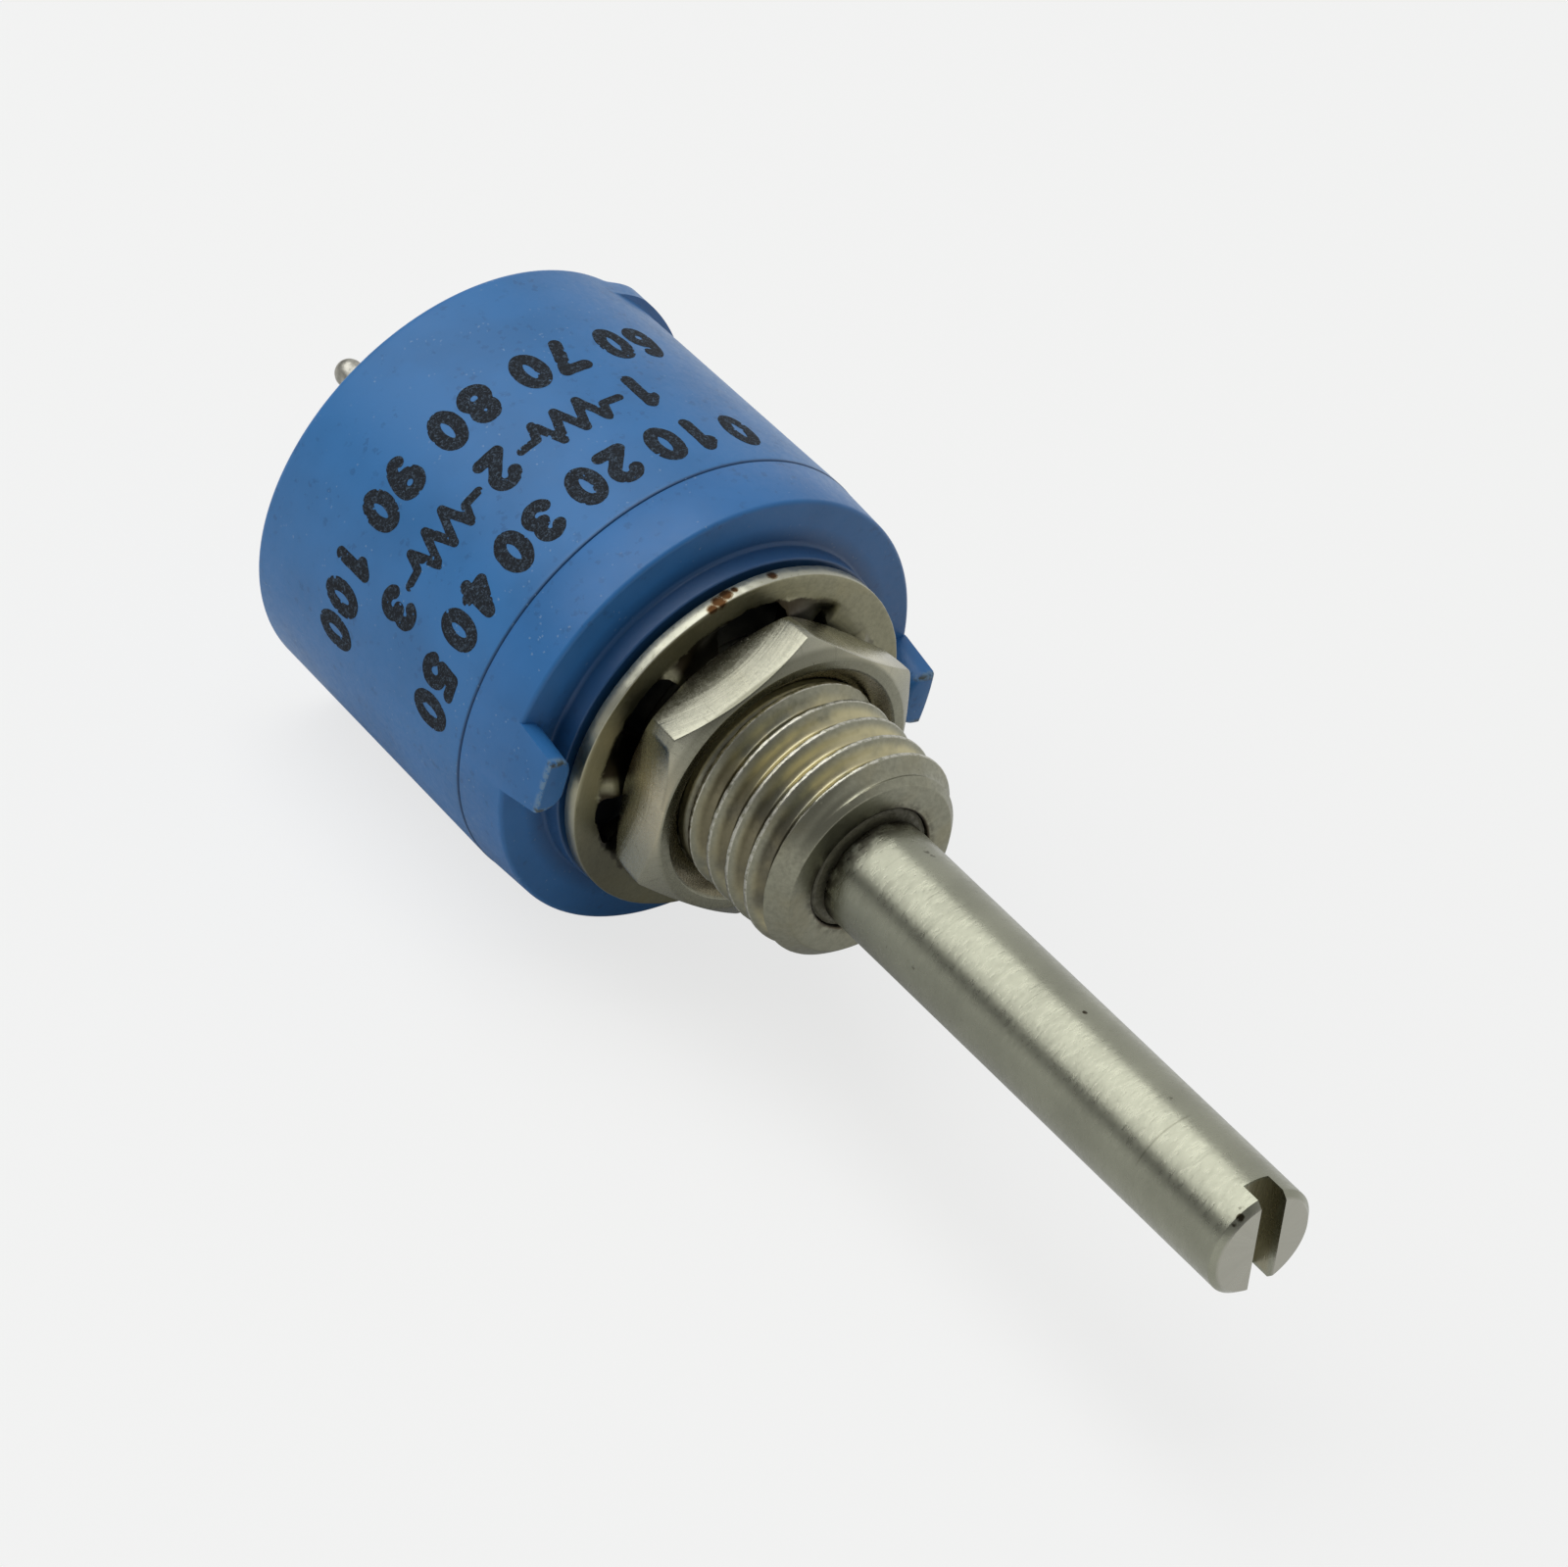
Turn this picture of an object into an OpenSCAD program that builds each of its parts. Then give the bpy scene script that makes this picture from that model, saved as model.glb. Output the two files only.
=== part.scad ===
// Half-inch sealed rotary potentiometer with a threaded panel bushing.
// Every module works in shaft coordinates: z = 0 is the face of the boss that seats on
// the panel, +z runs out along the shaft, and the two locating lugs lie on the x axis.
// in_frame() then lays the shaft along -Y, with the terminals' side up.

/* [Housing] */
// Radius of the moulded body at the seam with the front cover
body_r = 6.68; // [6:0.02:8]
// Draft of the housing, as the radius lost from the seam to the rear edge
rear_draft = 0.15; // [0:0.01:0.4]
// Depth behind the panel, from the boss face to the rear of the housing
body_depth = 11.8; // [11.2:0.1:16]
// Thickness of the housing's rear wall
rear_wall = 1.0; // [0.7:0.1:1.6]
// Thickness of the housing's side wall at the seam
side_wall = 1.48; // [1.2:0.02:1.8]
// Rounding of the housing's rear edge
rear_round = 0.15; // [0.1:0.05:0.5]
// Height of the low pad on the housing's side near its rear edge
side_pad_h = 0.22; // [0.05:0.01:0.22]
// Length of that pad along the shaft
side_pad_l = 0.8; // [0.5:0.1:3]
// Angle from the right-hand lug to where the pad starts
side_pad_from = 30; // [0:1:40]
// Angle from the right-hand lug to where the pad stops
side_pad_to = 66; // [45:1:90]

/* [Front cover] */
// Draft of the cover, as the radius lost from the seam to the front rim
rim_draft = 0.1; // [0:0.01:0.3]
// Height of the boss above the cover's front face
boss_h = 0.65; // [0.4:0.05:1.2]
// Width of the cover's front face, from the rim in to the boss
face_w = 1.33; // [1.2:0.01:1.6]
// Distance from the front face back to the seam
cover_t = 1.75; // [1.5:0.05:2.5]
// Length of the spigot that enters the housing
spigot_l = 0.8; // [0.5:0.1:1.2]
// Width of the shoulder inside the housing that carries the seal
shoulder_w = 0.55; // [0.4:0.05:0.7]
// Rounding of the front rim
rim_round = 0.12; // [0.05:0.01:0.3]

/* [Locating lugs] */
// How far the lugs stand forward of the boss face
lug_reach = 0.75; // [0.4:0.05:1.4]
// Width of a lug at its root
lug_root_w = 2.1; // [1.6:0.1:2.6]
// Width of a lug at its tip
lug_tip_w = 1.6; // [1:0.1:2.4]
// Radial thickness of a lug
lug_t = 0.95; // [0.6:0.05:1.2]
// Size of the broken edges at a lug's tip
lug_edge = 0.25; // [0.05:0.05:0.4]
// Distance from the cover's rim in to a lug's outer face
lug_inset = 0.03; // [0.02:0.01:0.1]

/* [Bushing] */
// Radius over the crests of the bushing's thread
thread_r = 3.175; // [3.1:0.005:3.4]
// Depth from the crests to where the thread meets the nut's thread
crest_h = 0.258; // [0.2:0.002:0.3]
// Pitch of the thread
thread_pitch = 0.794; // [0.7:0.002:0.9]
// Depth of the V-shaped grooves that stand for the free thread
thread_depth = 0.38; // [0.2:0.02:0.44]
// Distance from the bushing's end back to the first of those grooves
thread_end_l = 0.97; // [0.9:0.01:1.2]
// Length of the bushing in front of the boss face
bushing_l = 6.35; // [5.5:0.05:10]
// Width of the bevel at the bushing's end
bushing_bevel_w = 0.575; // [0.3:0.025:0.9]
// Length of that bevel
bushing_bevel_l = 0.55; // [0.2:0.05:0.6]
// Width by which the flange stands out past the thread's crests
flange_w = 0.725; // [0.4:0.025:0.9]
// Thickness of that flange
flange_t = 0.9; // [0.6:0.05:1.1]
// Depth of the counterbore that holds the shaft seal
seal_bore_l = 1.1; // [0.9:0.05:1.6]
// Distance from the nut's face to where the free thread starts
thread_gap = 0.05; // [0.02:0.01:0.2]

/* [Shaft] */
// Radius of the shaft
shaft_r = 1.5875; // [1.5:0.0125:1.6]
// Length of the shaft from the boss face to its tip
shaft_l = 22.225; // [12:0.025:40]
// Bevel at the tip
tip_bevel = 0.18; // [0.05:0.01:0.4]
// Width of the screwdriver slot
slot_w = 0.8; // [0.5:0.05:1.2]
// Depth of the screwdriver slot
slot_depth = 0.75; // [0.4:0.05:1.4]
// Angle of the slot when the shaft is in mid travel
slot_angle = 102; // [0:1:180]
// Distance by which the slot misses the shaft's centre
slot_offset = 0.12; // [0:0.01:0.3]
// Depth of the shaft's two grooves
groove_depth = 0.3375; // [0.25:0.0125:0.4]
// Depth of the flat that drives the rotor
flat_depth = 0.4; // [0.2:0.05:0.6]
// Length by which the seal's groove runs out past the bushing's end
groove_out_l = 0.1; // [0.05:0.01:0.2]

/* [Turning] */
// Travel of the shaft from stop to stop, in degrees
travel = 295; // [200:5:300]
// Half angle of the stop inside the cover
stop_half = 16; // [10:1:20]
// How far the cover's stop reaches into the housing, behind the seam
stop_l = 3.2; // [2.5:0.1:3.4]
// Angle left free at each end of the travel
stop_spare = 0.5; // [0.2:0.1:1]

/* [Rotor] */
// Room round the rotor's disc inside the housing
rotor_room_w = 0.4; // [0.3:0.05:0.6]
// Thickness of the rotor's disc
rotor_t = 1.1; // [0.8:0.1:1.3]
// Wall of the rotor's hub round the shaft
hub_wall = 1.01; // [0.8:0.01:1.4]
// Height of the room between the rotor's disc and the element
contact_room_h = 1.5; // [1.2:0.05:1.8]
// Radius of the heat-staked posts that hold the wiper
post_r = 0.3; // [0.2:0.02:0.35]
// Length of those posts
post_l = 0.24; // [0.18:0.02:0.4]
// Gap between the rotor's stop web and the cover's spigot
web_gap = 0.1; // [0.05:0.01:0.3]

/* [Wiper] */
// Thickness of the wiper's spring metal
wiper_t = 0.12; // [0.08:0.01:0.16]
// Width of each wiper finger
finger_w = 0.6; // [0.4:0.05:0.8]
// Distance from the rotor's rim in to the edge of the wiper's plate
plate_inset = 0.2; // [0.05:0.01:0.25]
// Radius of the contact button at a finger's tip
button_r = 0.2; // [0.15:0.01:0.25]

/* [Element] */
// Thickness of the ceramic substrate
substrate_t = 0.7; // [0.5:0.05:1]
// Thickness of the films on the substrate
film_t = 0.1; // [0.05:0.01:0.15]
// Distance from the housing's wall in to the resistive track
track_inset = 0.65; // [0.5:0.05:0.8]
// Width of the resistive track
track_w = 1.2; // [1.15:0.05:1.3]
// Gap between the track and the collector ring
track_gap = 0.7; // [0.6:0.05:0.8]
// Width of the collector ring
collector_w = 0.9; // [0.7:0.05:1]
// Angle from an end terminal back to where its pad starts
pad_before = 24; // [20:1:28]
// Angle from an end terminal on to where its pad meets the track
pad_after = 9; // [9:1:15]

/* [Terminals] */
// Radius of the terminal pins
pin_r = 0.38; // [0.3:0.01:0.42]
// Wall by which the shank in the rear wall is thicker than the pin
shank_over_w = 0.18; // [0.16:0.01:0.19]
// Length of the pins behind the housing
pin_l = 2.15; // [1.5:0.05:6]
// Length of the shank that shows behind the rear wall
shank_out_l = 0.05; // [0.02:0.01:0.1]
// Angle from the middle terminal to each end terminal
pin_spread = 50; // [44:1:52]

/* [Nut and lock washer] */
// Width of the nut across its flats
nut_af = 7.94; // [7.5:0.02:8.2]
// Thickness of the nut
nut_t = 1.75; // [1.5:0.05:2.4]
// Distance from the flats in to the flat ring on the nut's faces
nut_face_inset = 0.07; // [0.02:0.01:0.2]
// Depth of the bevel on the nut's corners
nut_bevel = 0.46; // [0.2:0.02:0.5]
// Width of that flat ring, from the bevel in to the countersink
nut_ring_w = 0.28; // [0.2:0.02:0.5]
// Depth of the countersink
nut_sink = 0.55; // [0.3:0.05:0.7]
// Angle at which one corner of the nut stands
nut_angle = 34; // [0:1:59]
// Distance from the boss's edge in to the lock washer's edge
washer_inset = 0.03; // [0.01:0.01:0.2]
// Width of the washer's rim
washer_rim_w = 0.97; // [0.7:0.01:1.1]
// Thickness of the washer's sheet
washer_t = 0.4; // [0.3:0.02:0.5]
// Gap between the teeth's tips and the thread's crests
tooth_gap = 0.125; // [0.05:0.005:0.3]
// Number of teeth
teeth = 7; // [6:1:10]
// Angle at which the first tooth stands
tooth_angle = 24; // [0:1:50]
// Width of a tooth
tooth_w = 1.6; // [1:0.05:1.7]
// Twist of a tooth out of the washer's plane
tooth_twist = 18; // [10:1:28]

/* [Fits] */
// Radial clearance of the shaft in the bushing
running_gap = 0.03; // [0.02:0.01:0.06]
// Clearance round pieces that are pressed, moulded or bonded together
seat_gap = 0.01; // [0.005:0.005:0.02]
// Clearance between the spigot and the housing
register_gap = 0.02; // [0.01:0.01:0.04]
// Clearance between pieces that slide on each other
slide_gap = 0.02; // [0.01:0.01:0.05]
// Thickness of the seal between cover and housing
seal_t = 0.4; // [0.3:0.05:0.6]
// Wire radius of the shaft seal
ring_wire_r = 0.27; // [0.2:0.01:0.28]
// Clearance between that seal and its counterbore
seal_gap = 0.04; // [0.02:0.01:0.06]
// Thickness of the thrust washer behind the bushing
thrust_t = 0.15; // [0.1:0.01:0.25]
// Width of the thrust washer's ring
thrust_w = 1.08; // [0.7:0.02:1.3]
// Thickness of the retaining ring
clip_t = 0.3; // [0.2:0.02:0.4]
// Width of the retaining ring
clip_w = 1.14; // [0.8:0.02:1.3]
// Opening of the retaining ring, in degrees
clip_gap = 70; // [40:5:100]

/* [Hidden] */
$fn = 96;
// Facets of the small balls and of the seal's wire
small_fn = 32;
// Small amount by which a cutting solid passes the face that it cuts
cut = 0.1;
// Radii of the moulded body, from the outside in
rim_r = body_r - rim_draft;
rear_r = body_r - rear_draft;
boss_r = rim_r - face_w;
cavity_r = body_r - side_wall;
spigot_r = cavity_r + shoulder_w;
rotor_r = cavity_r - rotor_room_w;
plate_r = rotor_r - plate_inset;
track_r = cavity_r - track_inset - track_w / 2;
collector_r = track_r - track_w / 2 - track_gap - collector_w / 2;
// Radii of the bushing and of what sits on it
pitch_r = thread_r - crest_h;
bushing_end_r = thread_r - bushing_bevel_w;
flange_r = thread_r + flange_w;
washer_r = boss_r - washer_inset;
washer_rim_r = washer_r - washer_rim_w;
tooth_r = thread_r + tooth_gap;
nut_face_r = nut_af / 2 - nut_face_inset;
nut_sink_r = nut_face_r - nut_ring_w;
// Radii of the shaft and of what sits on it
groove_r = shaft_r - groove_depth;
seal_bore_r = groove_r + seat_gap + 2 * ring_wire_r + seal_gap;
hub_r = shaft_r + hub_wall;
thrust_r = shaft_r + running_gap + thrust_w;
clip_r = groove_r + seat_gap + clip_w;
pin_shank_r = pin_r + shank_over_w;
// Stations along the shaft, from the front back
face_z = -boss_h;
seam_z = face_z - cover_t;
spigot_z = seam_z - spigot_l;
seal_z = spigot_z - seal_t;
rear_z = -body_depth;
floor_z = rear_z + rear_wall;
element_z = floor_z + substrate_t;
film_z = element_z + film_t;
side_pad_z = rear_z + rear_round;
rotor_z = element_z + contact_room_h;
disc_z = rotor_z + rotor_t;
web_z = spigot_z - web_gap;
stop_z = seam_z - stop_l;
flange_z = seam_z + flange_t;
thrust_z = seam_z - slide_gap;
clip_z = thrust_z - thrust_t - slide_gap;
clip_end_z = clip_z - clip_t;
hub_z = clip_end_z - slide_gap - seat_gap;
washer_h = tooth_w * sin(tooth_twist) + washer_t * cos(tooth_twist);
nut_z = washer_h;
nut_front_z = nut_z + nut_t;
thread_z = nut_front_z + thread_gap;
thread_end_z = bushing_l - thread_end_l;
seal_groove_l = seal_bore_l - slide_gap;
groove_end_z = bushing_l + groove_out_l;
groove_z = groove_end_z - seal_groove_l;
ring_z = bushing_l - seal_bore_l / 2;
// Angles seen from the front: the middle terminal and the cover's stop are at the top
top_angle = 90;
mid_angle = -90;
rotor_stop_half = (360 - travel) / 2 - stop_half - stop_spare;
pin_angles = [top_angle + pin_spread, top_angle, top_angle - pin_spread];
pad_start = pin_spread - pad_before;
pad_stop = pin_spread + pad_after;
post_x = (collector_r + track_r) / 2;
// Half of the thread's flank angle, and the number of grooves that fit in front of the nut
flank_angle = 30;
groove_room_l = thread_end_z - thread_depth * tan(flank_angle) - thread_z;
thread_grooves = floor(groove_room_l / thread_pitch) + 1;
// A finger reaches from its contact button back to the edge of the wiper's plate
finger_l = sqrt(pow(plate_r, 2) - pow(track_r, 2));

function arc(x, y, r, from, to, steps = 8) =
    [for (i = [0:steps]) let (a = from + (to - from) * i / steps) [x + r * cos(a), y + r * sin(a)]];

module in_frame() {
    rotate([90, 0, 0])
        children();
}

// A straight round piece between two stations
module round_bar(r, low, high) {
    translate([0, 0, low])
        cylinder(r = r, h = high - low);
}

// A flat ring between two stations
module flat_ring(outer, inner, low, high) {
    difference() {
        round_bar(outer, low, high);
        round_bar(inner, low - cut, high + cut);
    }
}

// A stretch of flat ring that spans from one angle to another
module ring_sector(outer, inner, low, high, from, to) {
    rotate([0, 0, from])
        rotate_extrude(angle = to - from)
            translate([inner, low])
                square([outer - inner, high - low]);
}

module pin_holes(r, low, high) {
    for (a = pin_angles)
        rotate([0, 0, a])
            translate([track_r, 0, 0])
                round_bar(r, low, high);
}

// Moulded cup with draft towards the rear, a low pad and three holes for the terminals
module housing() {
    color("steelblue")
        in_frame()
            difference() {
                union() {
                    rotate_extrude()
                        polygon(concat(
                            [[0, seam_z], [0, rear_z]],
                            arc(rear_r - rear_round, rear_z + rear_round, rear_round, -90, 0),
                            [[body_r, seam_z]]));
                    ring_sector(rear_r + side_pad_h, cavity_r + cut, side_pad_z, side_pad_z + side_pad_l,
                                side_pad_from, side_pad_to);
                }
                round_bar(spigot_r + register_gap, seal_z, seam_z + cut);
                round_bar(cavity_r, floor_z, seam_z);
                pin_holes(pin_shank_r + seat_gap, rear_z - cut, floor_z + cut);
            }
}

// One lug, flush with the cover's side, tapered towards its tip, with broken edges
module lug() {
    tip = lug_tip_w / 2;
    root = lug_root_w / 2;
    outer_r = rim_r - lug_inset;
    inner_r = outer_r - lug_t;
    intersection() {
        translate([inner_r - cut, 0, 0])
            rotate([90, 0, 90])
                linear_extrude(height = lug_t + 2 * cut)
                    polygon([[-root, face_z - cut], [root, face_z - cut], [root, face_z],
                             [tip, lug_reach - lug_edge], [tip - lug_edge, lug_reach],
                             [lug_edge - tip, lug_reach], [-tip, lug_reach - lug_edge], [-root, face_z]]);
        round_bar(outer_r, face_z - 2 * cut, lug_reach + cut);
        rotate([90, 0, 0])
            linear_extrude(height = lug_root_w + cut, center = true)
                polygon([[inner_r, face_z - cut], [outer_r + cut, face_z - cut], [outer_r + cut, lug_reach],
                         [inner_r + lug_edge, lug_reach], [inner_r, lug_reach - lug_edge]]);
    }
}

// Cover with its boss, lugs, spigot and the stop for the rotor
module front_cover() {
    color("royalblue")
        in_frame()
            difference() {
                union() {
                    rotate_extrude()
                        polygon(concat(
                            [[0, seam_z], [body_r, seam_z]],
                            arc(rim_r - rim_round, face_z - rim_round, rim_round, 0, 90),
                            [[boss_r, face_z], [boss_r, 0], [0, 0]]));
                    flat_ring(spigot_r, rotor_r + slide_gap, spigot_z, seam_z + cut);
                    ring_sector(rotor_r + slide_gap + cut, flange_r + cut, stop_z, seam_z + cut,
                                top_angle - stop_half, top_angle + stop_half);
                    for (side = [0, 180])
                        rotate([0, 0, side])
                            lug();
                }
                round_bar(pitch_r + seat_gap, seam_z - cut, cut);
                round_bar(flange_r + seat_gap, seam_z - cut, flange_z);
            }
}

// Rubber ring squeezed between the cover's spigot and the housing's shoulder
module cover_seal() {
    color("dimgray")
        in_frame()
            flat_ring(spigot_r, cavity_r, seal_z, spigot_z);
}

// The free thread as rings: V-shaped grooves a pitch apart, each with the thread's flanks
module thread_rings() {
    mouth_w = (thread_depth + cut) * tan(flank_angle);
    for (i = [0:thread_grooves - 1])
        translate([0, 0, thread_end_z - i * thread_pitch])
            rotate_extrude()
                polygon([[thread_r - thread_depth, 0], [thread_r + cut, -mouth_w], [thread_r + cut, mouth_w]]);
}

// Turned and plated bushing: flange, stem, threaded end with a bevel, and bores
module bushing() {
    color("silver")
        in_frame()
            difference() {
                union() {
                    round_bar(flange_r, seam_z, flange_z);
                    round_bar(pitch_r, flange_z, thread_z);
                    round_bar(thread_r, thread_z, bushing_l - bushing_bevel_l);
                    translate([0, 0, bushing_l - bushing_bevel_l])
                        cylinder(r1 = thread_r, r2 = bushing_end_r, h = bushing_bevel_l);
                }
                round_bar(shaft_r + running_gap, seam_z - cut, bushing_l + cut);
                round_bar(seal_bore_r, bushing_l - seal_bore_l, bushing_l + cut);
                thread_rings();
            }
}

// A groove round the shaft between two stations
module shaft_groove(low, high) {
    flat_ring(shaft_r + cut, groove_r, low, high);
}

// A round bar with the flat that turns the rotor cut along it
module drive_bar(r, low, high) {
    difference() {
        round_bar(r, low, high);
        translate([-r - cut, r - flat_depth, low - cut])
            cube([2 * (r + cut), flat_depth + cut, high - low + 2 * cut]);
    }
}

// Shaft with bevelled, slotted tip, seal groove, clip groove and drive flat
module shaft() {
    color("lightgray")
        in_frame()
            difference() {
                union() {
                    round_bar(shaft_r, rotor_z, shaft_l - tip_bevel);
                    translate([0, 0, shaft_l - tip_bevel])
                        cylinder(r1 = shaft_r, r2 = shaft_r - tip_bevel, h = tip_bevel);
                }
                translate([-shaft_r - cut, shaft_r - flat_depth, rotor_z - cut])
                    cube([2 * (shaft_r + cut), flat_depth + cut, hub_z - rotor_z + cut]);
                shaft_groove(groove_z, groove_end_z);
                shaft_groove(clip_end_z - seat_gap, clip_z + seat_gap);
                rotate([0, 0, slot_angle])
                    translate([-shaft_r - cut, -slot_w / 2 - slot_offset, shaft_l - slot_depth])
                        cube([2 * (shaft_r + cut), slot_w, slot_depth + cut]);
            }
}

// O-ring in the groove at the bushing's mouth
module shaft_seal() {
    color("black")
        in_frame()
            translate([0, 0, ring_z])
                rotate_extrude()
                    translate([groove_r + seat_gap + ring_wire_r, 0])
                        circle(r = ring_wire_r, $fn = small_fn);
}

// Flat washer that runs on the bushing's flange
module thrust_washer() {
    color("goldenrod")
        in_frame()
            flat_ring(thrust_r, shaft_r + running_gap, thrust_z - thrust_t, thrust_z);
}

// Open ring that keeps the shaft from being pulled out
module retaining_ring() {
    color("slategray")
        in_frame()
            ring_sector(clip_r, groove_r + seat_gap, clip_end_z, clip_z,
                        mid_angle + clip_gap / 2, mid_angle + 360 - clip_gap / 2);
}

// Moulded rotor: hub with the drive bore, stop web, disc, and two posts for the wiper
module rotor() {
    color("saddlebrown")
        in_frame()
            difference() {
                union() {
                    round_bar(hub_r, rotor_z, hub_z);
                    round_bar(rotor_r, rotor_z, disc_z);
                    ring_sector(rotor_r, hub_r - cut, disc_z - cut, web_z,
                                mid_angle - rotor_stop_half, mid_angle + rotor_stop_half);
                    for (side = [-1, 1])
                        translate([side * post_x, 0, 0])
                            round_bar(post_r, rotor_z - post_l, rotor_z + cut);
                }
                drive_bar(shaft_r + seat_gap, rotor_z - cut, hub_z + cut);
            }
}

// One spring finger that slopes from the wiper's plate down to its contact button
module finger(r) {
    root_z = rotor_z - wiper_t / 2;
    button_z = film_z + slide_gap + button_r;
    slope = asin((root_z - button_z) / finger_l);
    translate([0, -r, button_z]) {
        rotate([0, slope, 0])
            translate([-finger_l, -finger_w / 2, -wiper_t / 2])
                cube([finger_l, finger_w, wiper_t]);
        sphere(r = button_r, $fn = small_fn);
    }
}

// Stamped wiper: plate on the posts, one finger on the track and one on the collector
module wiper() {
    color("gold")
        in_frame()
            difference() {
                union() {
                    flat_ring(plate_r, shaft_r, rotor_z - wiper_t, rotor_z);
                    finger(track_r);
                    finger(collector_r);
                }
                for (side = [-1, 1])
                    translate([side * post_x, 0, 0])
                        round_bar(post_r + seat_gap, rotor_z - wiper_t - cut, rotor_z + cut);
            }
}

// Ceramic disc that carries the films
module substrate() {
    color("whitesmoke")
        in_frame()
            difference() {
                round_bar(cavity_r - seat_gap, floor_z, element_z);
                pin_holes(pin_shank_r + seat_gap, floor_z - cut, element_z + cut);
            }
}

// Horseshoe of resistive ink
module resistive_track() {
    color("darkslategray")
        in_frame()
            ring_sector(track_r + track_w / 2, track_r - track_w / 2, element_z, film_z,
                        top_angle + pad_stop, top_angle + 360 - pad_stop);
}

// Closed conductor ring with an arm to the middle terminal
module collector_ring() {
    color("lightsteelblue")
        in_frame() {
            flat_ring(collector_r + collector_w / 2, collector_r - collector_w / 2, element_z, film_z);
            difference() {
                union() {
                    rotate([0, 0, top_angle])
                        translate([collector_r, -collector_w / 2, element_z])
                            cube([track_r - collector_r, collector_w, film_t]);
                    rotate([0, 0, top_angle])
                        translate([track_r, 0, 0])
                            round_bar(track_w / 2, element_z, film_z);
                }
                round_bar(collector_r, element_z - cut, film_z + cut);
            }
        }
}

// Silver pad that joins one end of the track to its terminal
module end_pad(side) {
    color("silver")
        in_frame()
            rotate([0, 0, top_angle])
                mirror([0, side < 0 ? 1 : 0, 0])
                    ring_sector(track_r + track_w / 2, track_r - track_w / 2, element_z, film_z,
                                pad_start, pad_stop);
}

module end_pad_left() {
    end_pad(1);
}

module end_pad_right() {
    end_pad(-1);
}

// Tinned pin with a thicker shank in the wall and a rounded tip
module terminal(angle) {
    tip_z = rear_z - pin_l + pin_r;
    color("gainsboro")
        in_frame()
            rotate([0, 0, angle])
                translate([track_r, 0, 0]) {
                    round_bar(pin_shank_r, rear_z - shank_out_l, element_z);
                    round_bar(pin_r, tip_z, rear_z);
                    translate([0, 0, tip_z])
                        sphere(r = pin_r, $fn = small_fn);
                }
}

module terminal_left() {
    terminal(pin_angles[0]);
}

module terminal_middle() {
    terminal(pin_angles[1]);
}

module terminal_right() {
    terminal(pin_angles[2]);
}

// Internal-tooth lock washer with twisted teeth
module lock_washer() {
    rim_z = (washer_h - washer_t) / 2;
    color("darkgray")
        in_frame() {
            flat_ring(washer_r, washer_rim_r, rim_z, rim_z + washer_t);
            for (i = [0:teeth - 1])
                rotate([0, 0, tooth_angle + i * 360 / teeth])
                    translate([tooth_r, 0, washer_h / 2])
                        rotate([tooth_twist, 0, 0])
                            translate([0, -tooth_w / 2, -washer_t / 2])
                                cube([washer_rim_r - tooth_r + 2 * cut, tooth_w, washer_t]);
        }
}

// Hexagon nut, bevelled on both faces, with a countersunk bore
module hex_nut() {
    corner_r = nut_af / 2 / cos(30);
    bore_r = pitch_r + seat_gap;
    color("silver")
        in_frame()
            intersection() {
                rotate([0, 0, nut_angle])
                    translate([0, 0, nut_z - cut])
                        cylinder(r = corner_r, h = nut_t + 2 * cut, $fn = 6);
                rotate_extrude()
                    polygon([[bore_r, nut_z], [nut_face_r, nut_z], [corner_r + cut, nut_z + nut_bevel],
                             [corner_r + cut, nut_front_z - nut_bevel], [nut_face_r, nut_front_z],
                             [nut_sink_r, nut_front_z], [bore_r, nut_front_z - nut_sink]]);
            }
}

housing();
front_cover();
cover_seal();
bushing();
shaft();
shaft_seal();
thrust_washer();
retaining_ring();
rotor();
wiper();
substrate();
resistive_track();
collector_ring();
end_pad_left();
end_pad_right();
terminal_left();
terminal_middle();
terminal_right();
lock_washer();
hex_nut();
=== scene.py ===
# Looks of the rotary potentiometer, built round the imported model.
# Lengths are millimetres in shaft coordinates: z = 0 is the boss face and +z runs out along
# the shaft; to_world() lays the shaft along -Y and turns them into metres.
import math

import bmesh
import bpy
from mathutils import Matrix, Vector, noise


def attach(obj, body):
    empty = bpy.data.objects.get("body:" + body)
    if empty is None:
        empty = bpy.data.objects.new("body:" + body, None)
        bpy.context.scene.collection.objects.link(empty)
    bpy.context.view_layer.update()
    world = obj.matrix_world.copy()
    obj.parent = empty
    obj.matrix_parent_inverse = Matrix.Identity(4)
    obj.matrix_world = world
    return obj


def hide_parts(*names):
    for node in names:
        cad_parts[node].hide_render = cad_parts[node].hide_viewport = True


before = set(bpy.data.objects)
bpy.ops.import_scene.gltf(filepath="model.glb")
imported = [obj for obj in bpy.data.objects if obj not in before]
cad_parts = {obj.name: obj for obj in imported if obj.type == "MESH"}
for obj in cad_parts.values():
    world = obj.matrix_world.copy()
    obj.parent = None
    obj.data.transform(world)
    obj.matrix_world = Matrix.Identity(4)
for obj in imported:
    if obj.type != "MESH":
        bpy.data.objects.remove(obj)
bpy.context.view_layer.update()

MM = 0.001
SHARP_ANGLE = 32

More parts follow.
